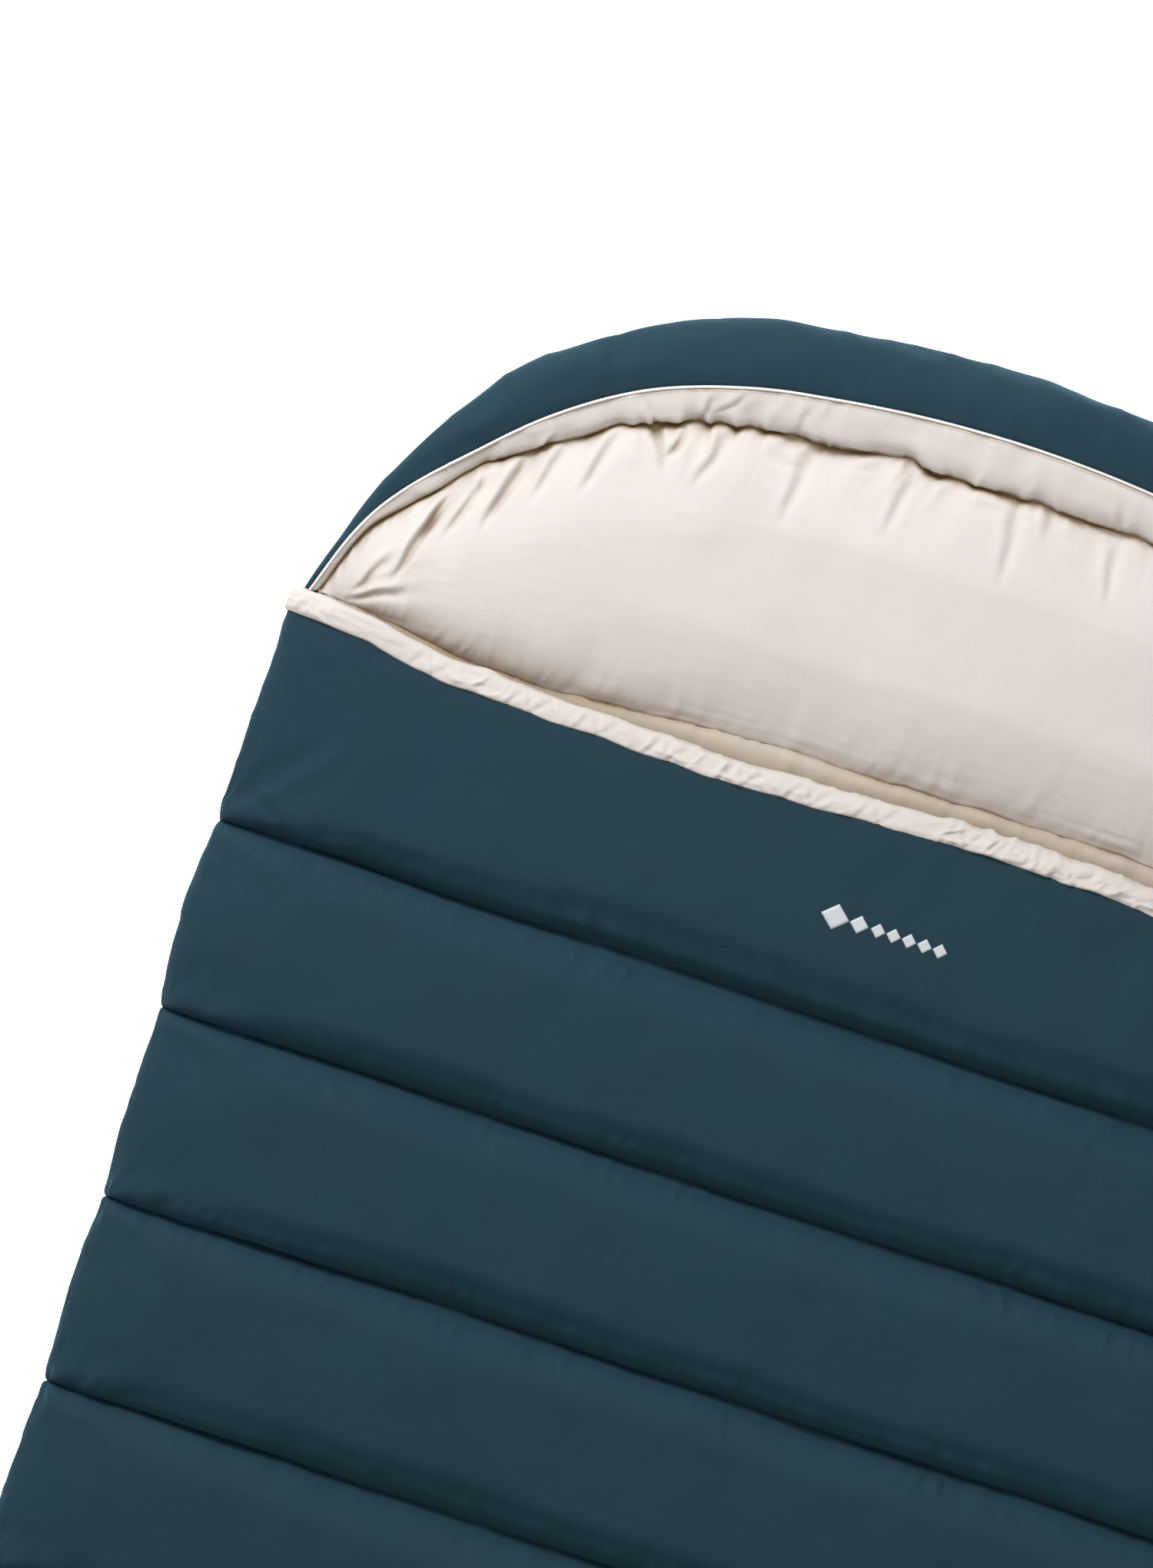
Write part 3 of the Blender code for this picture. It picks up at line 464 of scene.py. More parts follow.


# painted shade: the cloth materials given a shade darken their colour where occlusion finds folds and gaps, and those
# given a seam colour paint a dark shade line into stitched grooves
PETROL = cloth("petrol_shell", (0.0130, 0.0375, 0.0535), 0.70, weave=0.0006, weave_depth=0.30, variation=0.08,
               sheen=0.22, sheen_tint=(0.20, 0.60, 0.95), mottling=0.05, crinkle=0.16, specular=0.14, shade=(0.22, 0.34, 0.40), reach=0.014,
               seam=(0.20, 0.27, 0.32), groove_shade_reach=0.0066, groove_shade_full=0.78)
CREAM = cloth("cream_lining", (0.698, 0.648, 0.618), 0.84, weave=0.0007, weave_depth=0.30, variation=0.018,
              sheen=0.08, sheen_tint=(1.0, 0.97, 0.92), mottling=0.012, crinkle=0.10, shade=(0.52, 0.42, 0.29), reach=0.065,
              full=0.97, seam=(0.56, 0.46, 0.28), groove_shade_reach=0.022, groove_shade_full=0.88)
# painted shade: the back lining's copy of the cream, with a much stronger, warmer shade, so the strip between the hood
# seam and the mouth is painted as lying in shadow
CREAM_SHADED = cloth("cream_lining_painted_shade", (0.698, 0.648, 0.618), 0.84, weave=0.0007, weave_depth=0.30, variation=0.018,
                  sheen=0.08, sheen_tint=(1.0, 0.97, 0.92), mottling=0.012, crinkle=0.10, shade=(0.40, 0.32, 0.19), reach=0.080,
                  shut=0.40, full=1.0, seam=(0.50, 0.39, 0.21), groove_shade_reach=0.022, groove_shade_full=0.90)
# painted shade: the binding's base is set darker than the lining's cream to offset the stronger light on its rolled
# nose; it also takes occlusion painted shade in its crinkles
BINDING = cloth("cream_binding", (0.600, 0.560, 0.525), 0.80, weave=0.0006, weave_depth=0.30, variation=0.022,
                sheen=0.08, sheen_tint=(1.0, 0.97, 0.92), mottling=0.015, crinkle=0.22, shade=(0.66, 0.55, 0.40), reach=0.012)
PIPING = cloth("piping_cord", (0.83, 0.80, 0.76), 0.72, weave=0.0008, weave_depth=0.4, variation=0.02)
THREAD_DARK = cloth("navy_thread", (0.012, 0.030, 0.042), 0.55, weave=0.0003, weave_depth=0.5, variation=0.1)
THREAD_CREAM = cloth("cream_thread", (0.62, 0.57, 0.50), 0.6, weave=0.0003, weave_depth=0.5, variation=0.05)
TAPE = cloth("zip_tape_web", (0.018, 0.036, 0.050), 0.78, weave=0.0009, weave_depth=0.7, variation=0.10)
COIL = hard("zip_coil_nylon", (0.016, 0.030, 0.040), 0.38, variation=0.2)
METAL = hard("slider_gunmetal", (0.16, 0.17, 0.18), 0.34, metallic=0.95, grain=400, depth=0.05)
GRIP = hard("puller_rubber", (0.50, 0.47, 0.41), 0.6, grain=1500, depth=0.3)
PRINT = hard("pale_print", (0.56, 0.60, 0.62), 0.55, grain=700, depth=0.05, variation=0.05)
LABEL = cloth("label_satin", (0.78, 0.77, 0.74), 0.45, weave=0.0004, weave_depth=0.2, variation=0.02)

# ---------------------------------------------------------------- the quilted cover
PANELS = []  # (front y, rear y, t at the front, t at the rear): t runs over the crown
for k in range(8):
    if k == 0:
        span = Y_BAND_FRONT + 0.052 - SEAMS[0]
        PANELS.append((Y_BAND_FRONT - 0.004, SEAMS[0], 1 - (Y_BAND_FRONT - 0.004 - SEAMS[0]) / span, 1.0))
    elif k < 7:
        PANELS.append((SEAMS[k - 1], SEAMS[k], 0.0, 1.0))
    else:
        PANELS.append((SEAMS[6], Y_FOOT, 0.0, 1.0))


def seam_shift(s, k):
    """How far stitch line k wanders from straight, at the place s across the width."""
    return 0.0016 * noise(s / 0.21 + 3.1 * k, 0, 40 + k) + 0.0007 * noise(s / 0.035, 0, 60 + k) + 0.0003 * noise(s / 0.009, 0, 80 + k)


def soft_table(x, table, reach=0.018):
    """A smoothed run through the (place, value) pairs of table."""
    xs, ys = np.array([a for a, b in table]), np.array([b for a, b in table])
    x = np.asarray(x, float)
    weights = (1, 3, 5, 6, 5, 3, 1)
    return sum(w * np.interp(x + reach * (i - 3) / 1.5, xs, ys) for i, w in enumerate(weights)) / sum(weights)


MOUTH = [(-0.745, 0.026), (-0.680, 0.025), (-0.648, 0.021), (-0.606, 0.0135), (-0.563, 0.0055), (-0.478, 0.0), (-0.392, -0.0035),
         (-0.307, -0.0020), (-0.222, -0.0060), (-0.137, -0.0020), (-0.051, 0.0020), (0.034, 0.0060), (0.119, 0.0085),
         (0.240, 0.0050), (0.370, -0.0020), (0.480, -0.0020), (0.560, 0.0050), (0.606, 0.0130), (0.648, 0.0210), (0.745, 0.026)]
SIDE = [(-1.20, 0.0), (-1.00, 0.0), (-0.80, 0.001), (-0.62, 0.002), (-0.47, -0.002), (-0.36, -0.004), (-0.25, -0.002), (-0.12, 0.000),
        (0.05, 0.000), (0.155, 0.002), (0.185, 0.008), (0.30, 0.0115), (0.42, 0.0110), (0.52, 0.0065), (0.60, 0.0040), (0.70, 0.0050)]


def mouth(s):
    """How far the mouth edge runs towards the head, more at its corners."""
    return soft_table(s, MOUTH) + 0.0012 * noise(np.asarray(s) / 0.045, 0, 21)


def side_extra(y, sign):
    """The quilt lies a little wider near its mouth."""
    return soft_table(y, SIDE, 0.008) * np.where(sign < 0, 1.0, 0.75)


def crown(t):
    return np.power(np.clip(np.sin(np.pi * np.clip(t, 0, 1)), 0, 1), 0.72)


def pillow_profile(t, d):
    """Steep shoulders at the stitch lines, then nearly level."""
    return 0.88 * (1 - np.exp(-np.maximum(d, 0) / 0.0055)) + 0.12 * np.power(np.clip(np.sin(np.pi * np.clip(t, 0, 1)), 0, 1), 0.85)


def panel_ends(s, k):
    y0, y1 = PANELS[k][:2]
    front = y0 + (seam_shift(s, k) if k else mouth(s))
    rear = y1 + (seam_shift(s, k + 1) if k < 7 else 0.0 * s)
    return front, rear


def cover_near(s, y, out=0.0, wrinkles=1.0):
    """A point of the first panel at the place s across and y along."""
    front, rear = panel_ends(np.asarray(s, float), 0)
    return cover_point(s, 0, np.clip((front - y) / (front - rear), 0, 1), out=out, wrinkles=wrinkles)


def cover_point(s, k, f, out=0.0, wrinkles=1.0):
    """A point on the cover: s metres across (past FLAT it rolls down the side), panel k, share f of the way
    from the panel's front to its rear, out metres off the surface."""
    s, f = np.broadcast_arrays(np.asarray(s, float), np.asarray(f, float))
    front, rear = panel_ends(s, k)
    t0, t1 = PANELS[k][2:]
    y = front + (rear - front) * f
    t = t0 + (t1 - t0) * f
    d0 = (front - y) if k else np.full_like(y, 0.2)
    d1 = (y - rear) if k < 7 else np.full_like(y, 0.2)
    d0, d1 = np.maximum(d0, 0), np.maximum(d1, 0)
    arch = crown(t)
    near = np.minimum(d0 / (1 + 0.35 * noise(s / 0.13, k, 31)), d1 / (1 + 0.35 * noise(s / 0.13, k + 1, 33)))
    height = PUFF * (1 + 0.06 * noise(s / 0.26, k * 1.7, 5) + 0.03 * noise(s / 0.09, k * 2.3, 6))
    z = Z_STITCH + height * pillow_profile(t, near)
    # stitched groove
    tight = np.where(d0 < d1, 1 + 0.5 * noise(s / 0.16, k, 35), 1 + 0.5 * noise(s / 0.16, k + 1, 35))
    z = z - 0.0026 * tight * np.exp(-((np.minimum(d0, d1) / 0.0042) ** 2))
    if k < 7:
        z = np.maximum(z, 0.0590)
    if k == 7:  # down to the foot seam
        q = np.clip((y - Y_FOOT) / 0.050, 0, 1)
        z = 0.0335 + (z - 0.0335) * np.sqrt(np.clip(1 - (1 - q) ** 2, 0, 1))
    # puckers that cross each stitch line, and slow unevenness of the filling
    amount = np.zeros_like(z)
    for d, seam in ((d0, k), (d1, k + 1)):
        lean = s + d * 0.55 * noise(s / 0.05, 0, 200 + seam)
        gate = 0.35 + 0.65 * smooth(0.5 + 0.9 * noise(s / 0.085, 0, 230 + seam))
        amount = amount + 0.0026 * gate * ridged(lean / 0.021, 0, 100 + seam) * bump(d, 0.008)
        amount = amount + 0.0012 * gate * ridged(lean / 0.0085, 0, 120 + seam) * bump(d, 0.0032)
        amount = amount + 0.0008 * noise(lean / 0.05, 0, 140 + seam) * bump(d, 0.022)
    amount = amount + 0.0015 * fbm(s / 0.11, y / 0.09, 300, 2) * arch
    amount = amount + 0.0008 * noise(s / 0.034 + 0.3 * noise(s / 0.1, y / 0.1, 7), y / 0.12, 310) * arch
    # a few longer creases running off the stitch lines
    for cx, cy, dx, dy, deep, wide in CREASES:
        length = math.hypot(dx, dy)
        ux, uy = dx / length, dy / length
        along = ((s - cx) * ux + (y - cy) * uy) / length
        off = -(s - cx) * uy + (y - cy) * ux
        off = off + 0.0015 * noise(along * 3, 0, 77)
        fade = np.exp(-((along * 2.0) ** 4))
        amount = amount + fade * (-deep * np.exp(-((off / wide) ** 2)) + 0.5 * deep * np.exp(-(((off - 2.2 * wide) / (1.6 * wide)) ** 2)))
    amount = amount * wrinkles + out
    # side roll
    a = np.abs(s)
    phi = np.clip((a - FLAT) / 0.085, 0, 1) * (np.pi / 2)
    psi = np.clip((a - FLAT - 0.085) / 0.020, 0, 1) * (np.pi / 2)
    swell = np.clip(arch, 0, 1)
    if k == 7:
        swell = swell * smooth((y - Y_FOOT) / 0.03)
    edge = EDGE + side_extra(y, np.sign(s)) + BULGE * swell ** 0.8 + 0.0012 * noise(y / 0.030, np.sign(s), 400) * swell + 0.0006 * noise(y / 0.011, np.sign(s), 401)
    low = np.minimum(0.0570 + 0.0065 * swell, z - 0.001)
    tuck_z = np.minimum(0.0505, z - 0.004)
    x = np.where(a <= FLAT, a, FLAT + (edge - FLAT) * np.sin(phi))
    zz = low + (z - low) * np.cos(phi)
    x = np.where(psi > 0, 0.7126 + (edge - 0.7126) * np.cos(psi), x)
    zz = np.where(psi > 0, low - (low - tuck_z) * np.sin(psi), zz)
    turn = phi + 0.35 * psi
    x = x + amount * np.sin(turn) * (psi < 1.2)
    zz = zz + amount * np.cos(turn)
    point = np.stack([np.sign(s) * x, y, zz], -1)
    if SETTLED is not None:
        point = point + settled_at(s, k, f) * (1.0 if wrinkles > 0.5 else 0.6)
    return point


SETTLED = None
ROWS_EACH = 25


def settled_at(s, k, f):
    """How far the cloth simulation moved the cover at this place."""
    u = np.clip((s - S_SIM[0]) / (S_SIM[1] - S_SIM[0]), 0, len(S_SIM) - 1.001)
    g = np.arccos(np.clip(1 - 2 * np.clip(f, 0, 1), -1, 1)) / np.pi
    v = k * (ROWS_EACH - 1) + g * (ROWS_EACH - 1)
    v = np.clip(v, 0, SETTLED.shape[0] - 1.001)
    i, j = np.floor(v).astype(int), np.floor(u).astype(int)
    a, b = (v - i)[..., None], (u - j)[..., None]

    def cubic(p0, p1, p2, p3, q):
        return p1 + 0.5 * q * (p2 - p0 + q * (2 * p0 - 5 * p1 + 4 * p2 - p3 + q * (3 * (p1 - p2) + p3 - p0)))

    def at(ii, jj):
        return SETTLED[np.clip(ii, 0, SETTLED.shape[0] - 1), np.clip(jj, 0, SETTLED.shape[1] - 1)]

    lines = []
    for di in (0, 1):
        lines.append(cubic(at(i + di, j - 1), at(i + di, j), at(i + di, j + 1), at(i + di, j + 2), b))
    return lines[0] * (1 - a) + lines[1] * a


def settle(label, points, fixed, rest, pressure, frames=20, cap=0.012, bend=0.2, tension=12.0, mass=0.03):
    """Pin a sheet where fixed, give it the rest lengths of rest, blow it up with the cloth solver; the moves."""
    begin = time.time()
    obj = surface("settle_" + label, points, PETROL, up=(0, 0, 1))
    obj.shape_key_add(name="Basis")
    key = obj.shape_key_add(name="slack")
    key.data.foreach_set("co", rest.astype(np.float32).ravel())
    key.value = 0.0
    group = obj.vertex_groups.new(name="pin")
    group.add([int(i) for i in np.flatnonzero(fixed.ravel())], 1.0, "REPLACE")
    mod = obj.modifiers.new("cloth", "CLOTH")
    c = mod.settings
    c.quality = 4
    c.mass = mass
    c.air_damping = 1.5
    c.tension_stiffness = c.compression_stiffness = tension
    c.shear_stiffness = tension * 0.4
    c.tension_damping = c.compression_damping = c.shear_damping = 8.0
    c.bending_stiffness = bend
    c.bending_damping = 0.5
    c.vertex_group_mass = "pin"
    c.pin_stiffness = 1.0
    c.rest_shape_key = key
    c.effector_weights.gravity = 0.0
    c.use_pressure = True
    c.uniform_pressure_force = pressure
    mod.collision_settings.use_collision = False
    mod.collision_settings.use_self_collision = False
    mod.point_cache.frame_start = 1
    mod.point_cache.frame_end = frames
    scene = bpy.context.scene
    for f in range(1, frames + 1):
        scene.frame_set(f)
    got = obj.evaluated_get(bpy.context.evaluated_depsgraph_get())
    out = np.empty(points.size, dtype=np.float32)
    got.data.vertices.foreach_get("co", out)
    move = out.reshape(points.shape).astype(float) - points
    size = np.linalg.norm(move, axis=-1, keepdims=True)
    move = move * np.minimum(1.0, cap / np.maximum(size, 1e-9))
    scene.frame_set(1)
    mesh = obj.data
    bpy.data.objects.remove(obj, do_unlink=True)
    bpy.data.meshes.remove(mesh)
    print("settled", label, points.shape, "mean", round(float(size.mean()), 5), "most", round(float(size.max()), 5),
          "seconds", round(time.time() - begin, 1))
    return move


CREASES = [  # centre x, y, half run x, y, depth, width
    (-0.6900, 0.6140, 0.040, 0.0060, 0.0014, 0.0034), (-0.6700, 0.6000, 0.036, -0.0040, 0.0010, 0.0040),
    (-0.665, 0.4252, 0.030, -0.018, 0.0044, 0.0034),
    (-0.240, 0.4250, 0.020, -0.030, 0.0009, 0.0040),
    (0.310, 0.3600, 0.026, 0.026, 0.0010, 0.0040),
    (-0.520, 0.1500, 0.018, -0.022, 0.0010, 0.0035),
    (0.120, -0.0750, 0.030, -0.020, 0.0011, 0.0040),
    (-0.610, -0.2900, 0.024, -0.020, 0.0012, 0.0040),
    (0.600, 0.4180, -0.030, -0.022, 0.0015, 0.0036),
    (0.560, -0.5050, -0.026, -0.020, 0.0012, 0.0040),
]

S_END = FLAT + 0.105
_half = np.concatenate([np.linspace(0, FLAT, 190)[:-1], np.linspace(FLAT, S_END, 36)])
S_ROW = np.concatenate([-_half[::-1], _half[1:]])
S_SIM = np.linspace(-S_END, S_END, 211)


def panel_shares(k, n=37):
    return 0.5 * (1 - np.cos(np.pi * np.linspace(0, 1, n)))


def cover_rows():
    rows = []
    for k in range(8):
        shares = panel_shares(k)
        if k:
            shares = shares[1:]
        for f in shares:
            rows.append((k, f))
    return rows


def ring_of_cover():
    rows = cover_rows()
    top = np.stack([cover_point(S_ROW, k, f) for k, f in rows])
    # underside, hidden by the lining
    under_x = np.linspace(0.7040, -0.7040, 14)
    under = np.zeros((len(rows), len(under_x), 3))
    for i in range(len(rows)):
        y = top[i, :, 1]
        under[i, :, 0] = under_x
        under[i, :, 1] = np.interp(under_x, S_ROW, y)
        yy = under[i, :, 1]
        drop = 0.0194 * np.clip((Y_FOOT + 0.066 - yy) / 0.058, 0, 1)
        under[i, :, 2] = np.minimum(0.0570 - drop, top[i, len(S_ROW) // 2, 2] - 0.0014)
    return np.concatenate([top, under], axis=1)


def as_uv(points, s_row, under):
    """Lay the surface out flat: across and along, in metres."""
    rows = points.shape[0]
    mid = points[:, points.shape[1] // 3]
    run = np.concatenate([[0], np.cumsum(np.linalg.norm(np.diff(mid, axis=0), axis=1))])
    u = np.concatenate([s_row, s_row[-1] + np.linspace(0.01, 1.4, under + 1)])
    return np.stack(np.broadcast_arrays(u[None, :], -run[:, None]), -1)


def settle_cover():
    """Slack cloth, held along every stitch line and round its edges, over filling that pushes it up."""
    shares = 0.5 * (1 - np.cos(np.pi * np.linspace(0, 1, ROWS_EACH)))
    rows, fixed = [], []
    for k in range(8):
        for i, f in enumerate(shares):
            if k and i == 0:
                continue
            rows.append(cover_point(S_SIM, k, f, wrinkles=0.35))
            edge = np.abs(S_SIM) > FLAT + 0.088
            fixed.append(np.ones_like(edge) if (i in (0, ROWS_EACH - 1)) else edge)
    points, fixed = np.stack(rows), np.stack(fixed)
    rest = points.copy()
    rest[..., 0] *= 1.060
    rest[..., 2] = points[..., 2] + 0.02 * (points[..., 2] - Z_STITCH)
    return settle("cover", points, fixed, rest, pressure=1.7, cap=0.007, bend=0.05, frames=22)


SETTLED = settle_cover()
ring = ring_of_cover()
cover = surface("cover_quilt", ring, PETROL, uv=as_uv(ring, S_ROW, 14), ring=True, caps=len(S_ROW))
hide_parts("cover_outer_shell", "cover_insulation", "turndown_outer_shell", "turndown_insulation")
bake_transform(cover)

# stitches along the seams of the cover
seam_rows = []
for k in range(7):
    s = np.linspace(-S_END + 0.022, S_END - 0.022, 900)
    seam_rows.append(cover_point(s, k, np.ones_like(s)) + np.array([0, 0, 0.0002]))
thread = stitches("cover_stitching", seam_rows, THREAD_DARK)
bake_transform(thread)


# ---------------------------------------------------------------- lining under the cover
def lining_rows(y_front, n=14):
    out = []
    marks = [y_front] + SEAMS + [Y_FOOT + 0.007]
    for k, (a, b) in enumerate(zip(marks, marks[1:])):
        f = 0.5 * (1 - np.cos(np.pi * np.linspace(0, 1, n)))
        for q in (f if k == 0 else f[1:]):
            out.append((a + (b - a) * q, k, q))
    return out


def lining_z(x, y, k, q, sign, seed, lift):
    arch = crown(np.full_like(x, q) if k else np.full_like(x, 0.15 + 0.85 * q))
    d = np.full_like(x, min(q, 1 - q) * PITCH)
    wr = 0.0009 * ridged((x + d * 0.4 * noise(x / 0.05, 0, seed)) / 0.022, k + (q > 0.5), seed + 1) * bump(d, 0.010)
    wr = wr + 0.0008 * fbm(x / 0.09, y / 0.07, seed + 2, 2)
    return sign * (lift * arch + wr - 0.0010 * np.exp(-((d / 0.003) ** 2)))


def cover_lining():
    xs = np.linspace(-0.7095, 0.7095, 300)
    rows = []
    for y, k, q in lining_rows(Y_BAND_REAR + 0.006):
        drop = 0.0194 * np.clip((Y_FOOT + 0.066 - y) / 0.058, 0, 1)
        side = smooth((0.7095 - np.abs(xs)) / 0.03)
        z = 0.0554 - drop + lining_z(xs, y, k, q, -1, 500, 0.0060) * side * (1 - min(1, drop / 0.010))
        z = np.minimum(z, 0.0560 - drop) - 0.0028 * math.exp(-(((y - Y_FOLD) / 0.034) ** 2))  # room for the fold
        yy = y + (seam_shift(xs, k + (q > 0.5)) if 0 < k < 8 else 0.0) * 0
        rows.append(np.stack([xs * (1 - 0.008 * min(1, drop / 0.01)), np.full_like(xs, yy), z], -1))
    return np.stack(rows)


points = cover_lining()
inner = surface("cover_lining_cloth", points, CREAM, up=(0, 0, -1), thick=0.0006, offset=-1)
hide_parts("cover_lining", "turndown_lining")
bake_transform(inner)

seam_rows = []
xs = np.linspace(-0.700, 0.700, 500)
for k in range(7):
    z = np.minimum(0.0554 + lining_z(xs, SEAMS[k], k, 1.0, -1, 500, 0.0060), 0.0560) - 0.0028 * math.exp(-(((SEAMS[k] - Y_FOLD) / 0.034) ** 2))
    seam_rows.append(np.stack([xs, np.full_like(xs, SEAMS[k]), z - 0.0004], -1))
inner_thread = stitches("cover_lining_stitching", seam_rows, THREAD_CREAM, up=(0, 0, -1))
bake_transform(inner_thread)


# ---------------------------------------------------------------- mouth binding
BAND_CREASES = []  # crossed folds where the strip was eased round the filling
for _x, _size in ((-0.560, 0.6), (-0.445, 1.0), (-0.366, 0.7), (-0.282, 1.0), (-0.196, 1.2), (-0.118, 0.7), (-0.040, 0.8),
                  (0.060, 1.0), (0.185, 1.0), (0.335, 1.1), (0.470, 1.0), (0.590, 0.8)):
    for _dx, _lean, _deep in ((-0.013, 0.9, 0.0015), (0.005, -0.5, 0.0013), (0.017, 1.3, 0.0012)):
        BAND_CREASES.append((_x + _dx, -0.040, 0.010 * _lean, 0.013, _deep * _size, 0.0038))


def mouth_binding():
    """A strip folded round the cover's front edge: rear seam, crinkled top, rolled nose, back under."""
    s = np.concatenate([np.linspace(-FLAT - 0.099, -FLAT, 80)[:-1], np.linspace(-FLAT, FLAT, 640)[:-1], np.linspace(FLAT, FLAT + 0.099, 80)])
    bow = mouth(s)
    gate = 0.18 + 0.82 * smooth(0.35 + 1.5 * noise(s / 0.085, 0, 611))
    rows = []
    top_rows = 15
    wander = 0.0012 * noise(s / 0.06, 0, 601) + 0.0006 * noise(s / 0.018, 0, 602)
    for i in range(top_rows):
        q = i / (top_rows - 1)  # 0 at the rear seam, 1 at the nose
        y = Y_BAND_REAR + bow + wander * (1 - q) + (Y_BAND_FRONT - 0.0045 - Y_BAND_REAR) * q
        base = cover_near(s, y, wrinkles=0.3)
        puff = 0.0022 + 0.0024 * np.sin(np.pi * np.clip(q, 0, 1) ** 0.6) ** 0.7 + 0.0006 * q
        lean = s + (q - 0.4) * 0.034 * noise(s / 0.06, 0, 603) + 0.006 * noise(s / 0.02, q * 2.2, 607)
        crinkle = 0.0042 * ridged(lean / 0.026, q * 1.3, 604) + 0.0020 * ridged(lean / 0.0105, q * 2.4, 605) + 0.0018 * noise(s / 0.04, q * 1.7, 608)
        here = np.stack([s, y - bow, np.zeros_like(s)], -1)
        folds = creased(here, BAND_CREASES)
        crinkle = np.maximum(crinkle, -0.0012) * gate * np.sin(np.pi * np.clip(0.10 + 0.84 * q, 0, 1)) ** 0.6
        point = base.copy()
        a = np.abs(s)
        phi = np.clip((a - FLAT) / 0.085, 0, 1) * (np.pi / 2)
        out = np.maximum(puff + crinkle + folds, 0.0021)
        point[:, 0] += np.sign(s) * out * np.sin(phi)
        point[:, 2] += out * np.cos(phi)
        point[:, 1] = y
        rows.append(point)
    nose = rows[-1].copy()
    low = np.full_like(s, 0.0551)
    a = np.abs(s)
    side = np.clip((a - FLAT) / 0.085, 0, 1)
    under_x = np.sign(s) * np.minimum(a, 0.7080)
    # roll over the nose: an arc from the top to the underside
    for ang in (20, 40, 62, 84, 106, 130, 155, 180):
        r = math.radians(ang)
        half = np.maximum((nose[:, 2] - low) / 2, 0.002)
        mid = (nose[:, 2] + low) / 2
        p = nose.copy()
        wob = (0.0034 * ridged(s / 0.026, ang / 70.0, 606) + 0.0014 * noise(s / 0.05, ang / 80.0, 609)) * gate * math.sin(r)
        p[:, 1] = nose[:, 1] + (0.0060 + wob) * math.sin(r)
        p[:, 2] = mid + half * math.cos(r)
        p[:, 0] = nose[:, 0] * (1 - (1 - math.cos(r)) / 2 * side) + under_x * ((1 - math.cos(r)) / 2 * side)
        rows.append(p)
    for q in (0.35, 0.7, 1.0):
        p = rows[-1].copy() if q == 0.35 else rows[-1].copy()
        p[:, 1] = nose[:, 1] - 0.026 * q
        p[:, 0] = np.sign(s) * np.minimum(np.abs(p[:, 0]), 0.7080)
        p[:, 2] = low - 0.0002
        rows.append(p)
    return s, np.stack(rows)


s_bind, points = mouth_binding()
run = np.concatenate([[0], np.cumsum(np.linalg.norm(np.diff(points[:, 300], axis=0), axis=1))])
uv = np.stack(np.broadcast_arrays(s_bind[None, :], run[:, None]), -1)
binding = surface("mouth_binding_cloth", points, BINDING, uv=uv, up=(0, 0.3, 1), thick=0.0007, offset=-1)
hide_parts("mouth_binding")
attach(binding, "turn_down")
rows = [points[1][8:-8] + np.array([0, 0, 0.0004])]
bind_thread = stitches("mouth_binding_stitching", rows, THREAD_CREAM, pitch=0.0032)
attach(bind_thread, "turn_down")

# ---------------------------------------------------------------- pale printed mark on the turn-down: plain lozenges
def printed_mark():
    verts, loops, sizes = [], [], []
    y0, y1, t0, t1 = PANELS[0]
    cx, cy = 0.013, Y_HOOD - 0.160
    count = 0
    marks = [(-0.058, 0.0165, 0.0150), (-0.030, 0.0110, 0.0105), (-0.008, 0.0085, 0.0085), (0.010, 0.0085, 0.0085),
             (0.028, 0.0085, 0.0085), (0.046, 0.0085, 0.0085), (0.064, 0.0085, 0.0085)]
    for mx, hw, hh in marks:
        n = 7
        g = np.linspace(-1, 1, n)
        a, b = np.meshgrid(g, g)
        # turn the square grid into a lozenge
        px, py = (a + b) / 2 * hw + cx + mx, (a - b) / 2 * hh + cy
        top = cover_near(px.ravel(), py.ravel(), out=0.00035)
        verts.append(top)
        idx = np.arange(n * n).reshape(n, n) + count
        q = np.stack([idx[:-1, :-1], idx[:-1, 1:], idx[1:, 1:], idx[1:, :-1]], -1).reshape(-1, 4)
        loops.append(q.ravel())
        sizes.append(np.full(len(q), 4))
        count += n * n
    verts, loops, sizes = np.concatenate(verts), np.concatenate(loops), np.concatenate(sizes)
    return raw_mesh("printed_mark", verts, loops, sizes, verts[loops][:, :2], PRINT, up=(0, 0, 1), thick=0.0002, offset=1)


mark = printed_mark()
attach(mark, "turn_down")


# ---------------------------------------------------------------- the back
def hood_seam_y(x):
    """The seam between back and hood bows towards the foot near the sides."""
    return Y_HOOD + soft_table(x, SEAM_BOW) + 0.0012 * noise(np.asarray(x) / 0.04, 0, 701) + 0.0005 * noise(np.asarray(x) / 0.011, 0, 702)


SEAM_BOW = [(-0.734, 0.004), (-0.674, 0.004), (-0.600, -0.006), (-0.536, -0.017), (-0.431, -0.020), (-0.317, -0.010), (-0.193, 0.0),
            (0.0, 0.002), (0.10, 0.004), (0.27, 0.005), (0.40, -0.004), (0.50, -0.012), (0.60, -0.008), (0.674, 0.003), (0.734, 0.004)]


def back_level(x, y):
    """Top of the back: level, lower along the zips, pinched at the hood seam."""
    z = 0.0340 - 0.0215 * smooth((np.abs(x) - 0.655) / 0.050)
    d = np.maximum(hood_seam_y(x) - y, 0.0)
    pinch = 0.0125 + 0.0055 * (1 - np.exp(-d / 0.0040)) + 0.0160 * smooth((d - 0.030) / 0.070)
    return np.minimum(z, pinch)


def back_rows(y_front):
    out = []
    marks = [y_front] + SEAMS + [Y_FOOT]
    for k, (a, b) in enumerate(zip(marks, marks[1:])):
        f = 0.5 * (1 - np.cos(np.pi * np.linspace(0, 1, 16)))
        for q in (f if k == 0 else f[1:]):
            out.append((a + (b - a) * q, k, q))
    return out


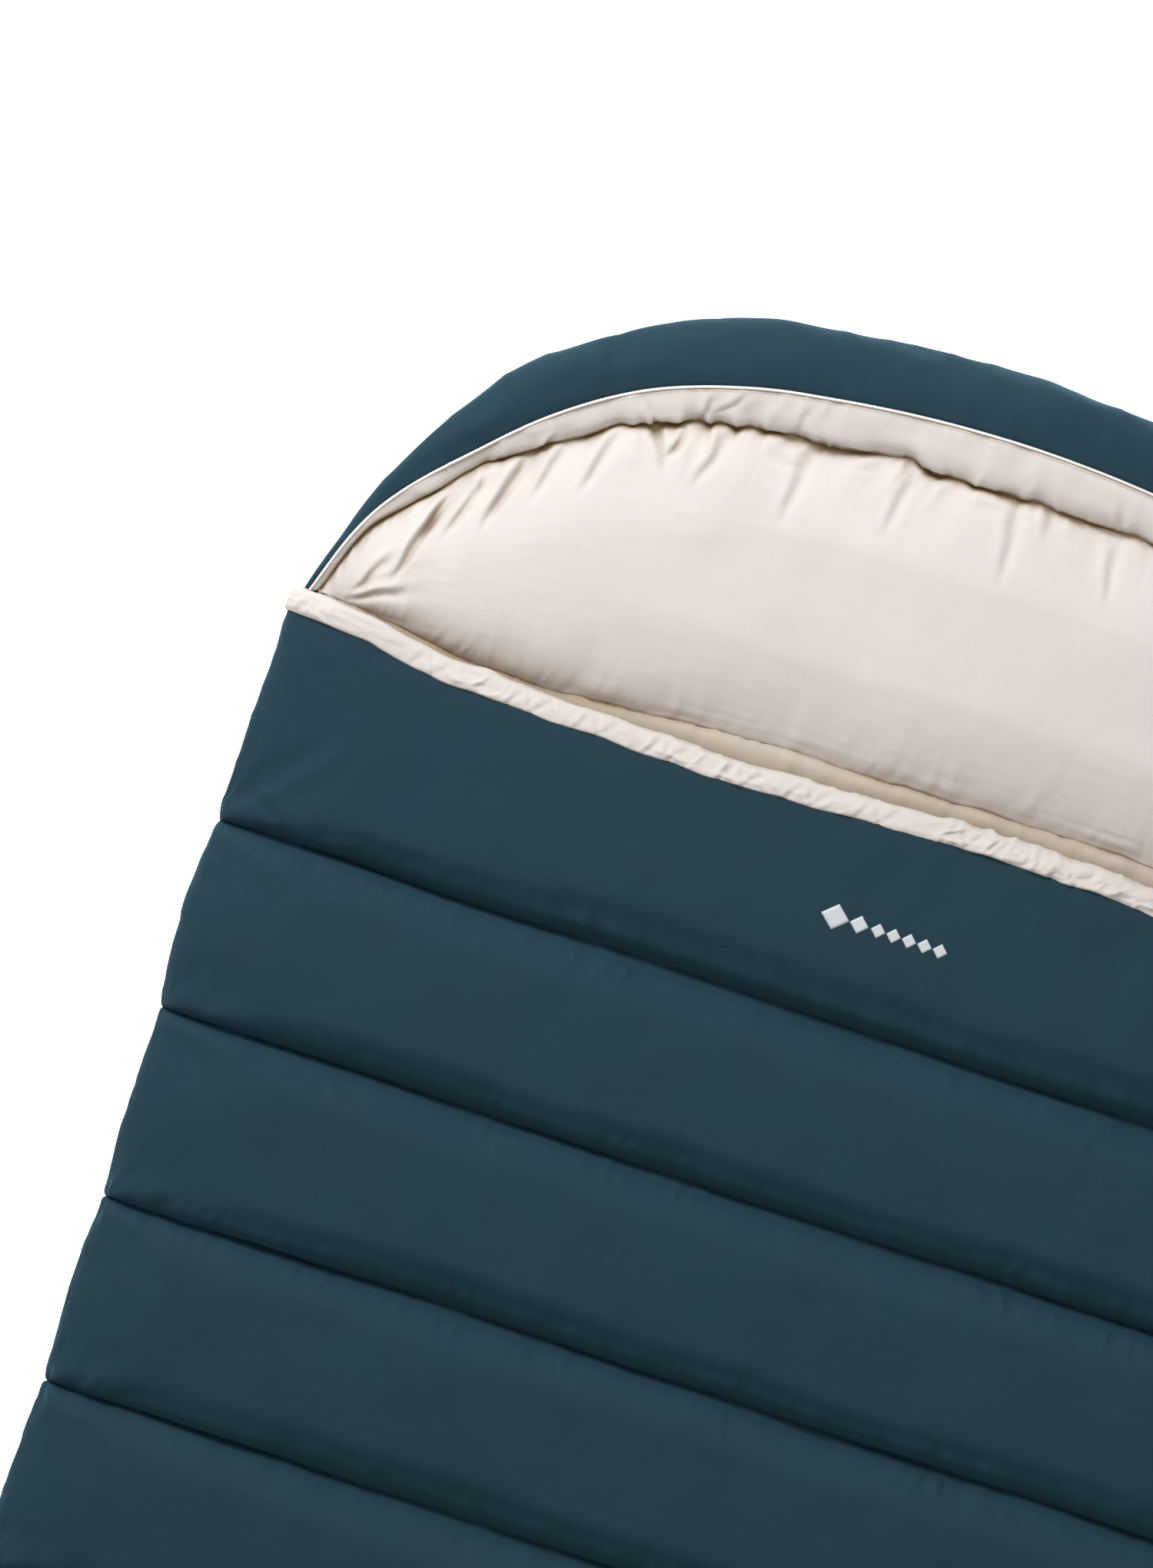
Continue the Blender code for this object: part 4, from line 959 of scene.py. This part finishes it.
def back_quilt():
    """Flat where it lies on the ground, with rounded, scalloped sides."""
    side_angles = np.radians(np.linspace(90, -90, 17))
    bottom = np.linspace(0.690, -0.690, 120)
    upper = np.linspace(-0.700, 0.700, 60)
    rows = []
    for y, k, q in back_rows(Y_HOOD):
        arch = float(crown(np.array(q if k else 0.25 + 0.75 * q)))
        foot = math.sqrt(max(0.0, 1 - (1 - min(1.0, (y - Y_FOOT + 0.0005) / 0.030)) ** 2))
        top_z = np.minimum(back_level(upper, np.full_like(upper, y)) - 0.0012, 0.0315 * foot + 0.001)
        edge = 0.7135 + 0.0075 * arch * foot
        low = 0.0009
        high = 0.0142
        pts = []
        for sgn in (1,):
            pts += [(x, z) for x, z in zip(upper, top_z)]
            for a in side_angles:
                wob = 0.0008 * float(noise(y / 0.02, a, 720)) * arch
                x = 0.700 + (edge - 0.700 + wob) * math.cos(a)
                z = (low + high) / 2 + (high - low) / 2 * math.sin(a)
                pts.append((x, z * foot + 0.001 * (1 - foot)))
            groove = 0.0012 * math.exp(-((min(q, 1 - q) * PITCH / 0.004) ** 2))
            for x in bottom:
                pts.append((x, low + groove + 0.0004 * abs(float(noise(x / 0.03, y / 0.03, 721)))))
            for a in side_angles[::-1]:
                wob = 0.0008 * float(noise(y / 0.02, a, 722)) * arch
                x = -(0.700 + (edge - 0.700 + wob) * math.cos(a))
                z = (low + high) / 2 + (high - low) / 2 * math.sin(a)
                pts.append((x, z * foot + 0.001 * (1 - foot)))
        rows.append([(x, y, z) for x, z in pts])
    return np.array(rows)


points = back_quilt()
run = np.concatenate([[0], np.cumsum(np.linalg.norm(np.diff(points[:, 0], axis=0), axis=1))])
around = np.concatenate([[0], np.cumsum(np.linalg.norm(np.diff(points[20], axis=0), axis=1))])
uv = np.stack(np.broadcast_arrays(around[None, :], -run[:, None]), -1)
back = surface("back_quilt", points, PETROL, uv=uv, ring=True, caps=True)
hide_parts("back_outer_shell", "back_insulation")
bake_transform(back)


def back_lining():
    xs = np.linspace(-0.7060, 0.7060, 380)
    rows = []
    marks = [None] + SEAMS + [Y_FOOT + 0.008]
    for k in range(8):
        f = 0.5 * (1 - np.cos(np.pi * np.linspace(0, 1, 20)))
        for q in (f if k == 0 else f[1:]):
            a = hood_seam_y(xs) + 0.0030 if k == 0 else np.full_like(xs, marks[k])
            b = marks[k + 1]
            y = a + (b - a) * q
            level = back_level(xs, y) + 0.0008
            wr = lining_z(xs, y.mean(), k, q, 1, 740, 0.0045 if k else 0.0030) * smooth((0.70 - np.abs(xs)) / 0.06)
            if k == 0:
                d = q * 0.27
                lean = xs + d * 0.6 * noise(xs / 0.06, 0, 744)
                wr = wr + 0.0016 * ridged(lean / 0.027, 0, 745) * bump(d, 0.010) + 0.0010 * ridged(lean / 0.009, 0, 746) * bump(d, 0.003)
            rows.append(np.stack([xs, y, level + np.maximum(wr, -0.0009)], -1))
    return np.stack(rows)


points = back_lining()
# the back lining wears the cream copy with the stronger painted shade
back_in = surface("back_lining_cloth", points, CREAM_SHADED, up=(0, 0, 1), thick=0.0006, offset=-1)
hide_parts("back_lining")
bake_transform(back_in)
xs = np.linspace(-0.690, 0.690, 500)
seam_rows = []
for k in range(7):
    y = np.full_like(xs, SEAMS[k])
    z = back_level(xs, y) + 0.0008 + lining_z(xs, SEAMS[k], k, 1.0, 1, 740, 0.0045 if k else 0.0030) * smooth((0.70 - np.abs(xs)) / 0.06)
    seam_rows.append(np.stack([xs, y, z + 0.0003], -1))
back_thread = stitches("back_lining_stitching", seam_rows, THREAD_CREAM)
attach(back_thread, "bag")

# ---------------------------------------------------------------- hood
OUTLINE = [(0.7240, 0.000), (0.704, 0.066), (0.677, 0.143), (0.626, 0.233), (0.555, 0.326),
           (0.459, 0.398), (0.348, 0.446), (0.232, 0.465), (0.115, 0.474), (0.0, 0.479)]
PIPE = [(0.7160, 0.004), (0.691, 0.078), (0.652, 0.137), (0.589, 0.206), (0.519, 0.270),
        (0.430, 0.328), (0.325, 0.366), (0.218, 0.386), (0.109, 0.398), (0.0, 0.402)]
GATHER = [(0.7060, 0.006), (0.676, 0.086), (0.631, 0.137), (0.572, 0.197), (0.500, 0.245),
          (0.413, 0.298), (0.315, 0.326), (0.212, 0.340), (0.106, 0.346), (0.0, 0.3465)]


def along_table(table, t):
    full = np.array([(-x, y) for x, y in table] + [(x, y) for x, y in reversed(table[:-1])])
    s = np.clip(np.asarray(t, float), 0, 1) * (len(full) - 1)
    k = np.minimum(s.astype(int), len(full) - 2)
    f = (s - k)[..., None]
    p = [full[np.clip(k + d, 0, len(full) - 1)] for d in (-1, 0, 1, 2)]
    a, b, c, d = p
    xy = 0.5 * (2 * b + (c - a) * f + (2 * a - 5 * b + 4 * c - d) * f ** 2 + (3 * b - a - 3 * c + d) * f ** 3)
    return np.stack([xy[..., 0], Y_HOOD + xy[..., 1], np.zeros(xy.shape[:-1])], -1)


def rim_frame(t):
    out, pipe, gather = (along_table(tab, t) for tab in (OUTLINE, PIPE, GATHER))
    across = out - gather
    length = np.linalg.norm(across, axis=-1)
    n = across / length[..., None]
    a = np.maximum(length / 2 - 0.0006, 0.004)
    b = a * 0.72
    centre = (out + gather) / 2
    centre[..., 2] = b + 0.0012
    c = np.clip(((pipe - centre) * n)[..., :2].sum(-1) / a, -0.85, 0.85)
    return centre, n, a, b, np.arccos(c)


G_END = np.radians(168)  # where the facing meets the lining, round the rim's section
T_FINE = np.linspace(0.0, 1.0, 520)
RUN = np.concatenate([[0], np.cumsum(np.linalg.norm(np.diff(along_table(GATHER, T_FINE), axis=0), axis=1))])


def arc_of(t):
    return np.interp(t, T_FINE, RUN)


def gather_gate(t):
    """Puckers bunch up in places along the gathered seam."""
    r = arc_of(t)
    return 0.45 + 0.55 * smooth(0.5 + 0.9 * noise(r / 0.11, 0, 811))


RIM_CREASES = [  # on the facing and the rim, from the gathered seam outwards
    (-0.514, 0.240, 0.008, 0.010, 0.0024, 0.0034), (-0.356, 0.331, 0.004, 0.013, 0.0028, 0.0036),
    (-0.411, 0.307, -0.009, 0.010, 0.0026, 0.0034), (-0.330, 0.345, 0.012, 0.012, 0.0020, 0.0034),
    (-0.560, 0.205, 0.004, 0.008, 0.0018, 0.0030), (-0.250, 0.350, 0.004, 0.014, 0.0014, 0.0040),
    (0.120, 0.360, -0.006, 0.014, 0.0016, 0.0040), (0.300, 0.345, -0.008, 0.014, 0.0022, 0.0036),
    (0.430, 0.300, -0.006, 0.012, 0.0022, 0.0036), (0.540, 0.235, -0.006, 0.010, 0.0020, 0.0034),
    (-0.560, 0.270, -0.016, 0.016, 0.0022, 0.0050), (-0.470, 0.345, -0.012, 0.020, 0.0024, 0.0060),
    (-0.615, 0.190, -0.012, 0.010, 0.0018, 0.0040), (0.500, 0.320, 0.014, 0.018, 0.0022, 0.0060),
]


def rim_point(t, angle, out=0.0, wrinkles=1.0, facing=False):
    t, angle = np.broadcast_arrays(np.asarray(t, float), np.asarray(angle, float))
    centre, n, a, b, mid = rim_frame(t)
    r = arc_of(t)
    size = np.clip(a / 0.05, 0, 1)
    bulge = np.abs(noise(r / 0.17 + 0.35, 0, 821)) ** 0.6 - 0.55
    lump = (0.0062 * bulge + 0.0012 * ridged(r / 0.045, 0, 820)) * smooth(0.15 + np.cos(angle)) * np.clip(size * 1.3, 0, 1)
    w = lump + 0.0020 * fbm(r / 0.09, angle / 0.7, 822, 2) * size
    cross = r + 0.02 * noise(r / 0.2, angle, 828)
    w = w + 0.0011 * ridged(cross / 0.055, angle * 0.8, 829) * size * smooth(0.3 + np.cos(angle))
    # puckers from the piping over the navy side, and from the gathered seam over the facing
    dp = np.abs(angle - mid) * a
    w = w + 0.0013 * ridged(r / 0.024 + 0.4 * noise(r / 0.05, angle * 2, 823), 0, 824) * bump(dp, 0.010) * size * gather_gate(t)
    w = w + creased(centre + n * (a * np.cos(angle))[..., None], RIM_CREASES) * size
    dg = np.abs(G_END - angle) * (a + b) / 2
    lean = r + dg * 0.5 * noise(r / 0.05, 0, 825)
    w = w + np.where(angle > mid, 1.0, 0.0) * gather_gate(t) * size * (
        0.0030 * ridged(lean / 0.030, 0, 826) * bump(dg, 0.010) + 0.0014 * ridged(lean / 0.012, 0, 827) * bump(dg, 0.005))
    w = w * wrinkles + out
    rise = np.sin(angle)
    level = np.where((angle > np.pi / 2) & (angle < np.pi), np.power(np.clip(rise, 0, 1), 0.55), rise)
    side = n * ((a + w) * np.cos(angle))[..., None]
    side[..., 2] += (b + w) * level
    point = centre + side
    point[..., 2] = np.maximum(point[..., 2], 0.0008)
    return point


def rim_ring():
    angles = np.radians(np.linspace(-90, 270, 49)[:-1])
    rows = []
    for t in T_FINE:
        p = rim_point(np.full_like(angles, t), angles)
        under = smooth((angles - rim_frame(t)[4] - 0.05) / 0.15) * smooth((np.radians(200) - angles) / 0.3)
        p[:, 2] = np.maximum(p[:, 2] - 0.0022 * under, 0.0008)
        rows.append(p)
    return angles, np.stack(rows)


angles, points = rim_ring()
around = angles * 0.05
uv = np.stack(np.broadcast_arrays(around[None, :], RUN[:, None]), -1)
rim = surface("hood_rim", points, PETROL, uv=uv, ring=True, caps=True)
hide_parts("hood_rim_shell", "hood_rim_filling")

def gather_angle(t):
    """Where the facing is sewn to the lining; it wanders a little."""
    r = arc_of(t)
    gate = gather_gate(t)
    return G_END + 0.09 * gate * noise(r / 0.045, 0, 831) + 0.07 * gate * ridged(r / 0.030, 0, 826)


def facing():
    rows = []
    for q in np.concatenate([np.linspace(0, 0.55, 9)[:-1], np.linspace(0.55, 1, 18)]):
        mid = rim_frame(T_FINE)[4]
        a = rim_frame(T_FINE)[2]
        start = mid + 0.0010 / a
        ang = start + (gather_angle(T_FINE) - start) * q
        p = rim_point(T_FINE, ang, out=0.0011)
        tuck = smooth((q - 0.86) / 0.14)
        p[:, 2] -= 0.0042 * tuck * np.clip(a / 0.03, 0.25, 1)
        rows.append(p)
    return np.stack(rows)


points = facing()
run = np.concatenate([[0], np.cumsum(np.linalg.norm(np.diff(points[:, 260], axis=0), axis=1))])
uv = np.stack(np.broadcast_arrays(RUN[None, :], run[:, None]), -1)
front = surface("hood_facing_cloth", points, CREAM, uv=uv, up=(0, 0, 1), thick=0.0007, offset=-1)
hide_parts("hood_facing")

centre, n, a, b, mid = rim_frame(T_FINE)
path = rim_point(T_FINE, mid, out=0.0014)
pipe = tube("hood_piping_cord", path, np.minimum(0.0017, a * 0.3), PIPING, sides=10)
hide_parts("hood_piping")
rows = [rim_point(T_FINE, mid - 0.0042 / a, out=0.0002)[6:-6], rim_point(T_FINE, mid + 0.0042 / a, out=0.0015)[6:-6]]
rim_thread = stitches("hood_piping_stitching", rows[:1], THREAD_DARK)
rim_thread_in = stitches("hood_facing_stitching", rows[1:], THREAD_CREAM)


def settle_pillow():
    """The lining's cloth, fuller along the gathered seam, pushed up by the pillow's filling."""
    flat = pillow(T_FINE[::2], 0.5 * (1 - np.cos(np.pi * np.linspace(0, 1, 46))), wrinkles=0.4)
    rest = flat.copy()
    full = np.linspace(0, 1, 46)[:, None] ** 4
    rest[..., 0] *= 1.003 + 0.046 * full
    rest[..., 1] = Y_HOOD + (flat[..., 1] - Y_HOOD) * (1.010 + 0.010 * full)
    fixed = np.zeros(flat.shape[:2], bool)
    fixed[0] = fixed[-1] = True
    fixed[:, 0] = fixed[:, -1] = True
    move = settle("pillow", flat, fixed, rest, pressure=2.0, cap=0.008, bend=0.08)
    slack = move.copy()
    for _ in range(14):  # the long folds die out away from the gathered seam
        slack[:, 1:-1] = (slack[:, :-2] + 2 * slack[:, 1:-1] + slack[:, 2:]) / 4
    near = smooth((np.linspace(0, 1, 46) - 0.52) / 0.44)[:, None, None]
    move = slack + (move - slack) * near
    fine = np.empty((91, len(T_FINE), 3))
    rows = np.stack([np.interp(np.linspace(0, 45, 91), np.arange(46), move[:, j, c]) for j in range(move.shape[1]) for c in range(3)], -1)
    rows = rows.reshape(91, move.shape[1], 3)
    at = np.linspace(0, move.shape[1] - 0.5, len(T_FINE))
    for i in range(91):
        for c in range(3):
            fine[i, :, c] = np.interp(at, np.arange(move.shape[1]), rows[i, :, c])
    return fine


def pillow(t, shares, wrinkles=1.0):
    """The hood's lining: a padded surface from the hood seam up to the gathered seam."""
    edge = rim_point(t, gather_angle(t), out=0.0)
    edge[:, 2] -= 0.0028 * np.clip(rim_frame(t)[2] / 0.03, 0.25, 1)
    wide = max(3, int(round(len(t) * 0.032)))  # the seam's small wander stays beside the seam
    even = edge.copy()
    for _ in range(2):
        padded = np.pad(even, ((wide, wide), (0, 0)), mode="reflect", reflect_type="odd")
        total = np.cumsum(np.concatenate([np.zeros((1, 3)), padded]), axis=0)
        even = (total[2 * wide + 1:] - total[:-2 * wide - 1]) / (2 * wide + 1)
    start_x = even[:, 0] * 0.994
    start = np.stack([start_x, hood_seam_y(start_x) + 0.0006, np.full_like(start_x, 0.0150)], -1)
    start[:, 2] = np.minimum(start[:, 2], even[:, 2] + 0.006)
    start[:, 1] = np.minimum(start[:, 1], np.minimum(edge[:, 1], even[:, 1]) - 0.0005)
    run = np.linalg.norm((even - start)[:, :2], axis=1)
    r = arc_of(t)
    rows = []
    for f in shares:
        p = start + (even - start) * f
        d0, d1 = f * run, (1 - f) * run
        p = p + (edge - even) * (f * np.exp(-((d1 / 0.018) ** 1.4)))[:, None]
        big = np.minimum(0.0225, 0.16 * run)
        big = big * (1 + 0.08 * noise(p[:, 0] / 0.2, p[:, 1] / 0.15, 841))
        puff = big * (0.50 * (1 - np.exp(-d0 / 0.0070)) + 0.50 * (1 - np.exp(-((d0 / 0.050) ** 1.3)))) * (0.40 * (1 - np.exp(-d1 / 0.0065)) + 0.60 * (1 - np.exp(-((d1 / 0.040) ** 1.3))))
        # gathers off the top seam
        lean = r + d1 * 0.35 * noise(r / 0.07, 0, 842)
        gate = gather_gate(t)
        wr = gate * (0.0030 * ridged(lean / 0.027, d1 / 0.12, 826) * bump(d1, 0.012)
                     + 0.0014 * ridged(lean / 0.012, d1 / 0.05, 827) * bump(d1, 0.006)
                     + 0.0018 * noise(lean / 0.060, 0, 843) * bump(d1, 0.045))
        # puckers off the hood seam
        lean0 = p[:, 0] + d0 * 0.5 * noise(p[:, 0] / 0.06, 0, 744)
        wr = wr + 0.0013 * ridged(lean0 / 0.027, 0, 745) * bump(d0, 0.014) + 0.0008 * ridged(lean0 / 0.011, 0, 746) * bump(d0, 0.006)
        wr = wr + 0.0012 * fbm(p[:, 0] / 0.14, p[:, 1] / 0.12, 845, 3) * smooth(d0 / 0.05) * smooth(d1 / 0.04)
        wr = wr + creased(p, PILLOW_CREASES)
        wr = wr * np.clip(run / 0.08, 0, 1)
        p[:, 2] = np.maximum(p[:, 2] + puff + wr * wrinkles, np.minimum(p[:, 2], 0.0140))
        rows.append(p)
    return np.stack(rows)


PILLOW_CREASES = [  # from the gathered seam down over the pillow
    (-0.538, 0.182, 0.012, 0.042, 0.0060, 0.0067), (-0.604, 0.132, 0.010, 0.028, 0.0051, 0.0053),
    (-0.616, 0.090, 0.012, 0.038, 0.0054, 0.0057), (-0.575, 0.150, 0.012, 0.036, 0.0045, 0.0057),
    (-0.394, 0.280, -0.011, 0.018, 0.0060, 0.0055), (-0.373, 0.288, 0.006, 0.017, 0.0054, 0.0051),
    (-0.500, 0.215, 0.008, 0.030, 0.0042, 0.0064), (-0.450, 0.245, 0.010, 0.034, 0.0045, 0.0069),
    (-0.330, 0.285, 0.010, 0.030, 0.0039, 0.0069), (-0.230, 0.290, 0.004, 0.040, 0.0033, 0.0080),
    (-0.120, 0.305, 0.006, 0.034, 0.0030, 0.0069), (0.010, 0.300, -0.004, 0.040, 0.0030, 0.0080),
    (-0.650, 0.045, 0.014, 0.022, 0.0039, 0.0053), (-0.640, 0.020, 0.026, 0.010, 0.0033, 0.0051),
    (0.130, 0.305, -0.004, 0.032, 0.0030, 0.0069), (0.260, 0.285, -0.008, 0.036, 0.0039, 0.0069),
    (0.380, 0.270, -0.010, 0.030, 0.0048, 0.0060), (0.460, 0.240, -0.012, 0.034, 0.0045, 0.0064),
    (0.540, 0.180, -0.012, 0.040, 0.0054, 0.0064), (0.605, 0.125, -0.010, 0.030, 0.0051, 0.0055),
    (0.625, 0.075, -0.012, 0.034, 0.0045, 0.0057),
]

points = pillow(T_FINE, 0.5 * (1 - np.cos(np.pi * np.linspace(0, 1, 91)))) + settle_pillow()
lining = surface("hood_lining_cloth", points, CREAM, up=(0, 0, 1), thick=0.0006, offset=-1)
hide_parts("hood_lining")


def hood_base():
    """The hood's quilted back, flat on the ground under the lining and half under the rim."""
    t = T_FINE[::2]
    centre = rim_frame(t)[0]
    inner = rim_point(t, np.full_like(t, G_END), wrinkles=0.0)
    rows = []
    start_x = inner[:, 0] * 0.992
    for f in np.linspace(0, 1, 14):
        x = start_x + (inner[:, 0] - start_x) * f
        y = Y_HOOD + 0.0002 + (np.maximum(inner[:, 1], Y_HOOD + 0.004) - Y_HOOD - 0.0002) * f
        rows.append((x, y))
    gather = inner
    top, low = [], []
    for x, y in rows:
        run = np.maximum(gather[:, 1] - Y_HOOD, 0.004)
        d0 = y - Y_HOOD
        z = 0.0125 + 0.0150 * smooth(d0 / 0.05)
        z = np.minimum(z, gather[:, 2] * 0.9)
        top.append(np.stack([x, y, np.maximum(z, 0.003)], -1))
    outer = np.stack([centre[:, 0], np.maximum(centre[:, 1], Y_HOOD + 0.004), np.full(len(t), 0.0009)], -1)
    low = []
    for f in np.linspace(1, 0, 12):
        x = outer[:, 0] * f + start_x * (1 - f)
        y = Y_HOOD + 0.0002 + (outer[:, 1] - Y_HOOD - 0.0002) * f
        z = 0.0009 + 0.0004 * np.abs(noise(x / 0.03, y / 0.03, 851))
        low.append(np.stack([x, y, z], -1))
    ring = np.stack(top + low, 1)
    return ring


points = hood_base()
base = surface("hood_base_quilt", points, PETROL, ring=True, caps=True)
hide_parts("hood_base_shell", "hood_base_insulation")

for o in (rim, front, pipe, rim_thread, rim_thread_in, lining, base):
    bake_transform(o)

# ---------------------------------------------------------------- zips
TEETH = 0.0027
for name, side in (("left", -1), ("right", 1)):
    x = side * 0.712
    low_y, high_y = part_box(f"zip_tape_back_{name}")[0].y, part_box(f"zip_tape_back_{name}")[1].y
    slider_y = (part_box(f"zip_slider_head_{name}")[0].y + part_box(f"zip_slider_head_{name}")[1].y) / 2
    # tapes: woven strips, slightly wavy where they are free
    for label, z0, z1, bodies, nodes in (
            ("lower", 0.0125, 0.0287, ("bag",), (f"zip_tape_back_{name}",)),
            ("upper", 0.0347, 0.0512, ("bag", "turn_down"), (f"zip_tape_cover_{name}", f"zip_tape_turndown_{name}"))):
        ys = np.linspace(low_y, high_y, 700)
        zs = np.linspace(z0, z1, 8)
        yy, zz = np.meshgrid(ys, zs, indexing="ij")
        free = np.clip(np.minimum(zz - z0, z1 - zz) / 0.008, 0, 1)
        xx = x + side * 0.0005 * free * noise(yy / 0.035, zz / 0.02, 900 + (label == "upper"))
        p = np.stack([xx, yy, zz], -1)
        tape = surface(f"zip_{label}_tape_{name}", p, TAPE, uv=np.stack([zz, yy], -1), up=(side, 0, 0), thick=0.0007, offset=0)
        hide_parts(*nodes)
        if len(bodies) == 1:
            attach(tape, "bag")
        else:
            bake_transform(tape)
    # coils: one row of teeth on each tape, meshed below the head slider and parted above it
    y = np.arange(low_y + 0.007, high_y - 0.007, TEETH)
    meshed = y < slider_y
    lower = np.stack([np.full_like(y, x), y, np.where(meshed, 0.0303, 0.0299)], -1)
    upper = np.stack([np.full_like(y, x), y + TEETH / 2, np.where(meshed, 0.0331, 0.0335)], -1)
    half_low = np.stack([np.full_like(y, 0.0015), np.full_like(y, 0.00068), np.where(meshed, 0.0016, 0.0012)], -1)
    half_up = half_low.copy()
    low_coil = boxes(f"zip_lower_coil_{name}", lower, half_low, COIL)
    up_coil = boxes(f"zip_upper_coil_{name}", upper, half_up, COIL)
    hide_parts(f"zip_coil_back_{name}")
    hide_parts(f"zip_coil_cover_{name}", f"zip_coil_turndown_{name}")
    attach(low_coil, "bag")
    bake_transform(up_coil)
    # stitches that hold the tapes
    ys = np.linspace(low_y + 0.004, high_y - 0.004, 500)
    row = np.stack([np.full_like(ys, x + side * 0.0006), ys, np.full_like(ys, 0.0168)], -1)
    low_row = stitches(f"zip_lower_stitching_{name}", [row], THREAD_DARK, up=(side, 0, 0))
    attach(low_row, "bag")
    row = row.copy()
    row[:, 2] = 0.0475
    up_row = stitches(f"zip_upper_stitching_{name}", [row], THREAD_DARK, up=(side, 0, 0))
    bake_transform(up_row)
    # draught tube behind the zip: soft, with cross creases
    lo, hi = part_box(f"draught_tube_{name}")
    ys = np.linspace(lo.y, hi.y, 520)
    cx, cz, r = (lo.x + hi.x) / 2, (lo.z + hi.z) / 2, (hi.x - lo.x) / 2
    path = np.stack([cx + 0.0010 * noise(ys / 0.16, 0, 930 + side), ys, cz + 0.0008 * noise(ys / 0.12, 0, 935 + side)], -1)
    ends = np.sqrt(np.clip(np.minimum(ys - lo.y, hi.y - ys) / 0.012, 0.02, 1))
    radius = (r - 0.0012) * ends * (1 + 0.04 * noise(ys / 0.05, 0, 940 + side))
    soft = tube(f"draught_tube_soft_{name}", path, radius, CREAM, sides=20, flat=0.95,
                wobble=lambda i, a: 0.0007 * ridged(ys[i] / 0.016, a * 0.9, 945) + 0.0004 * ridged(ys[i] / 0.007, a * 1.3, 946))
    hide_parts(f"draught_tube_{name}")
    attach(soft, "bag")

# ---------------------------------------------------------------- finishes of the CAD's own hard pieces
for node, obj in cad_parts.items():
    if obj.hide_render:
        continue
    if node.startswith("zip_slider") or "stop" in node:
        mat = METAL
    elif node.startswith("zip_puller"):
        mat = GRIP
    else:
        mat = LABEL
    obj.data.materials.clear()
    obj.data.materials.append(mat)
    if node.startswith(("zip_slider", "zip_puller")):
        b = obj.modifiers.new("soft_edges", "BEVEL")
        b.width = 0.00028
        b.segments = 2
        b.limit_method = "ANGLE"
        b.angle_limit = math.radians(40)

# ---------------------------------------------------------------- floor, light, camera
mesh = bpy.data.meshes.new("floor")
size = 14.0
mesh.from_pydata([(-size, -size, 0), (size, -size, 0), (size, size, 0), (-size, size, 0)], [], [(0, 1, 2, 3)])
floor = bpy.data.objects.new("floor", mesh)
bpy.context.scene.collection.objects.link(floor)
white = bpy.data.materials.new("pale_floor")
white.use_nodes = True
shader = white.node_tree.nodes["Principled BSDF"]
shader.inputs["Base Color"].default_value = (0.93, 0.93, 0.93, 1)
shader.inputs["Roughness"].default_value = 0.9
shader.inputs["Specular IOR Level"].default_value = 0.1
shader.inputs["Emission Color"].default_value = (1, 1, 1, 1)
shader.inputs["Emission Strength"].default_value = 0.6
mesh.materials.append(white)

scene = bpy.context.scene
world = bpy.data.worlds.new("studio")
scene.world = world
world.use_nodes = True
world.node_tree.nodes["Background"].inputs["Color"].default_value = (1.0, 0.975, 0.93, 1)
world.node_tree.nodes["Background"].inputs["Strength"].default_value = 0.42


def area(name, place, target, size, power, colour=(1, 1, 1)):
    data = bpy.data.lights.new(name, "AREA")
    data.shape = "RECTANGLE"
    data.size, data.size_y = size
    data.energy = power
    data.color = colour
    obj = bpy.data.objects.new(name, data)
    obj.location = place
    obj.rotation_euler = (Vector(target) - Vector(place)).to_track_quat("-Z", "Y").to_euler()
    scene.collection.objects.link(obj)
    return obj


area("head_light", (-2.3, 3.1, 2.7), (0, 0.2, 0), (2.2, 1.4), 150, (0.985, 1.0, 1.03))
area("top_light", (0.4, 1.2, 4.8), (0, 0.2, 0), (3.0, 3.0), 52)

camera_data = bpy.data.cameras.new("camera")
camera = bpy.data.objects.new("camera", camera_data)
scene.collection.objects.link(camera)
AWAY = 6.0
camera_data.sensor_width = 36.0
camera_data.lens = 36.0 * AWAY / (2040 / 1172)
camera.location = (-0.363, Y_HOOD - 0.1093, AWAY + 0.08)
camera.rotation_euler = (0, 0, math.radians(18.3))
camera_data.clip_end = 60
scene.camera = camera
scene.view_settings.view_transform = "Standard"
scene.view_settings.look = "None"
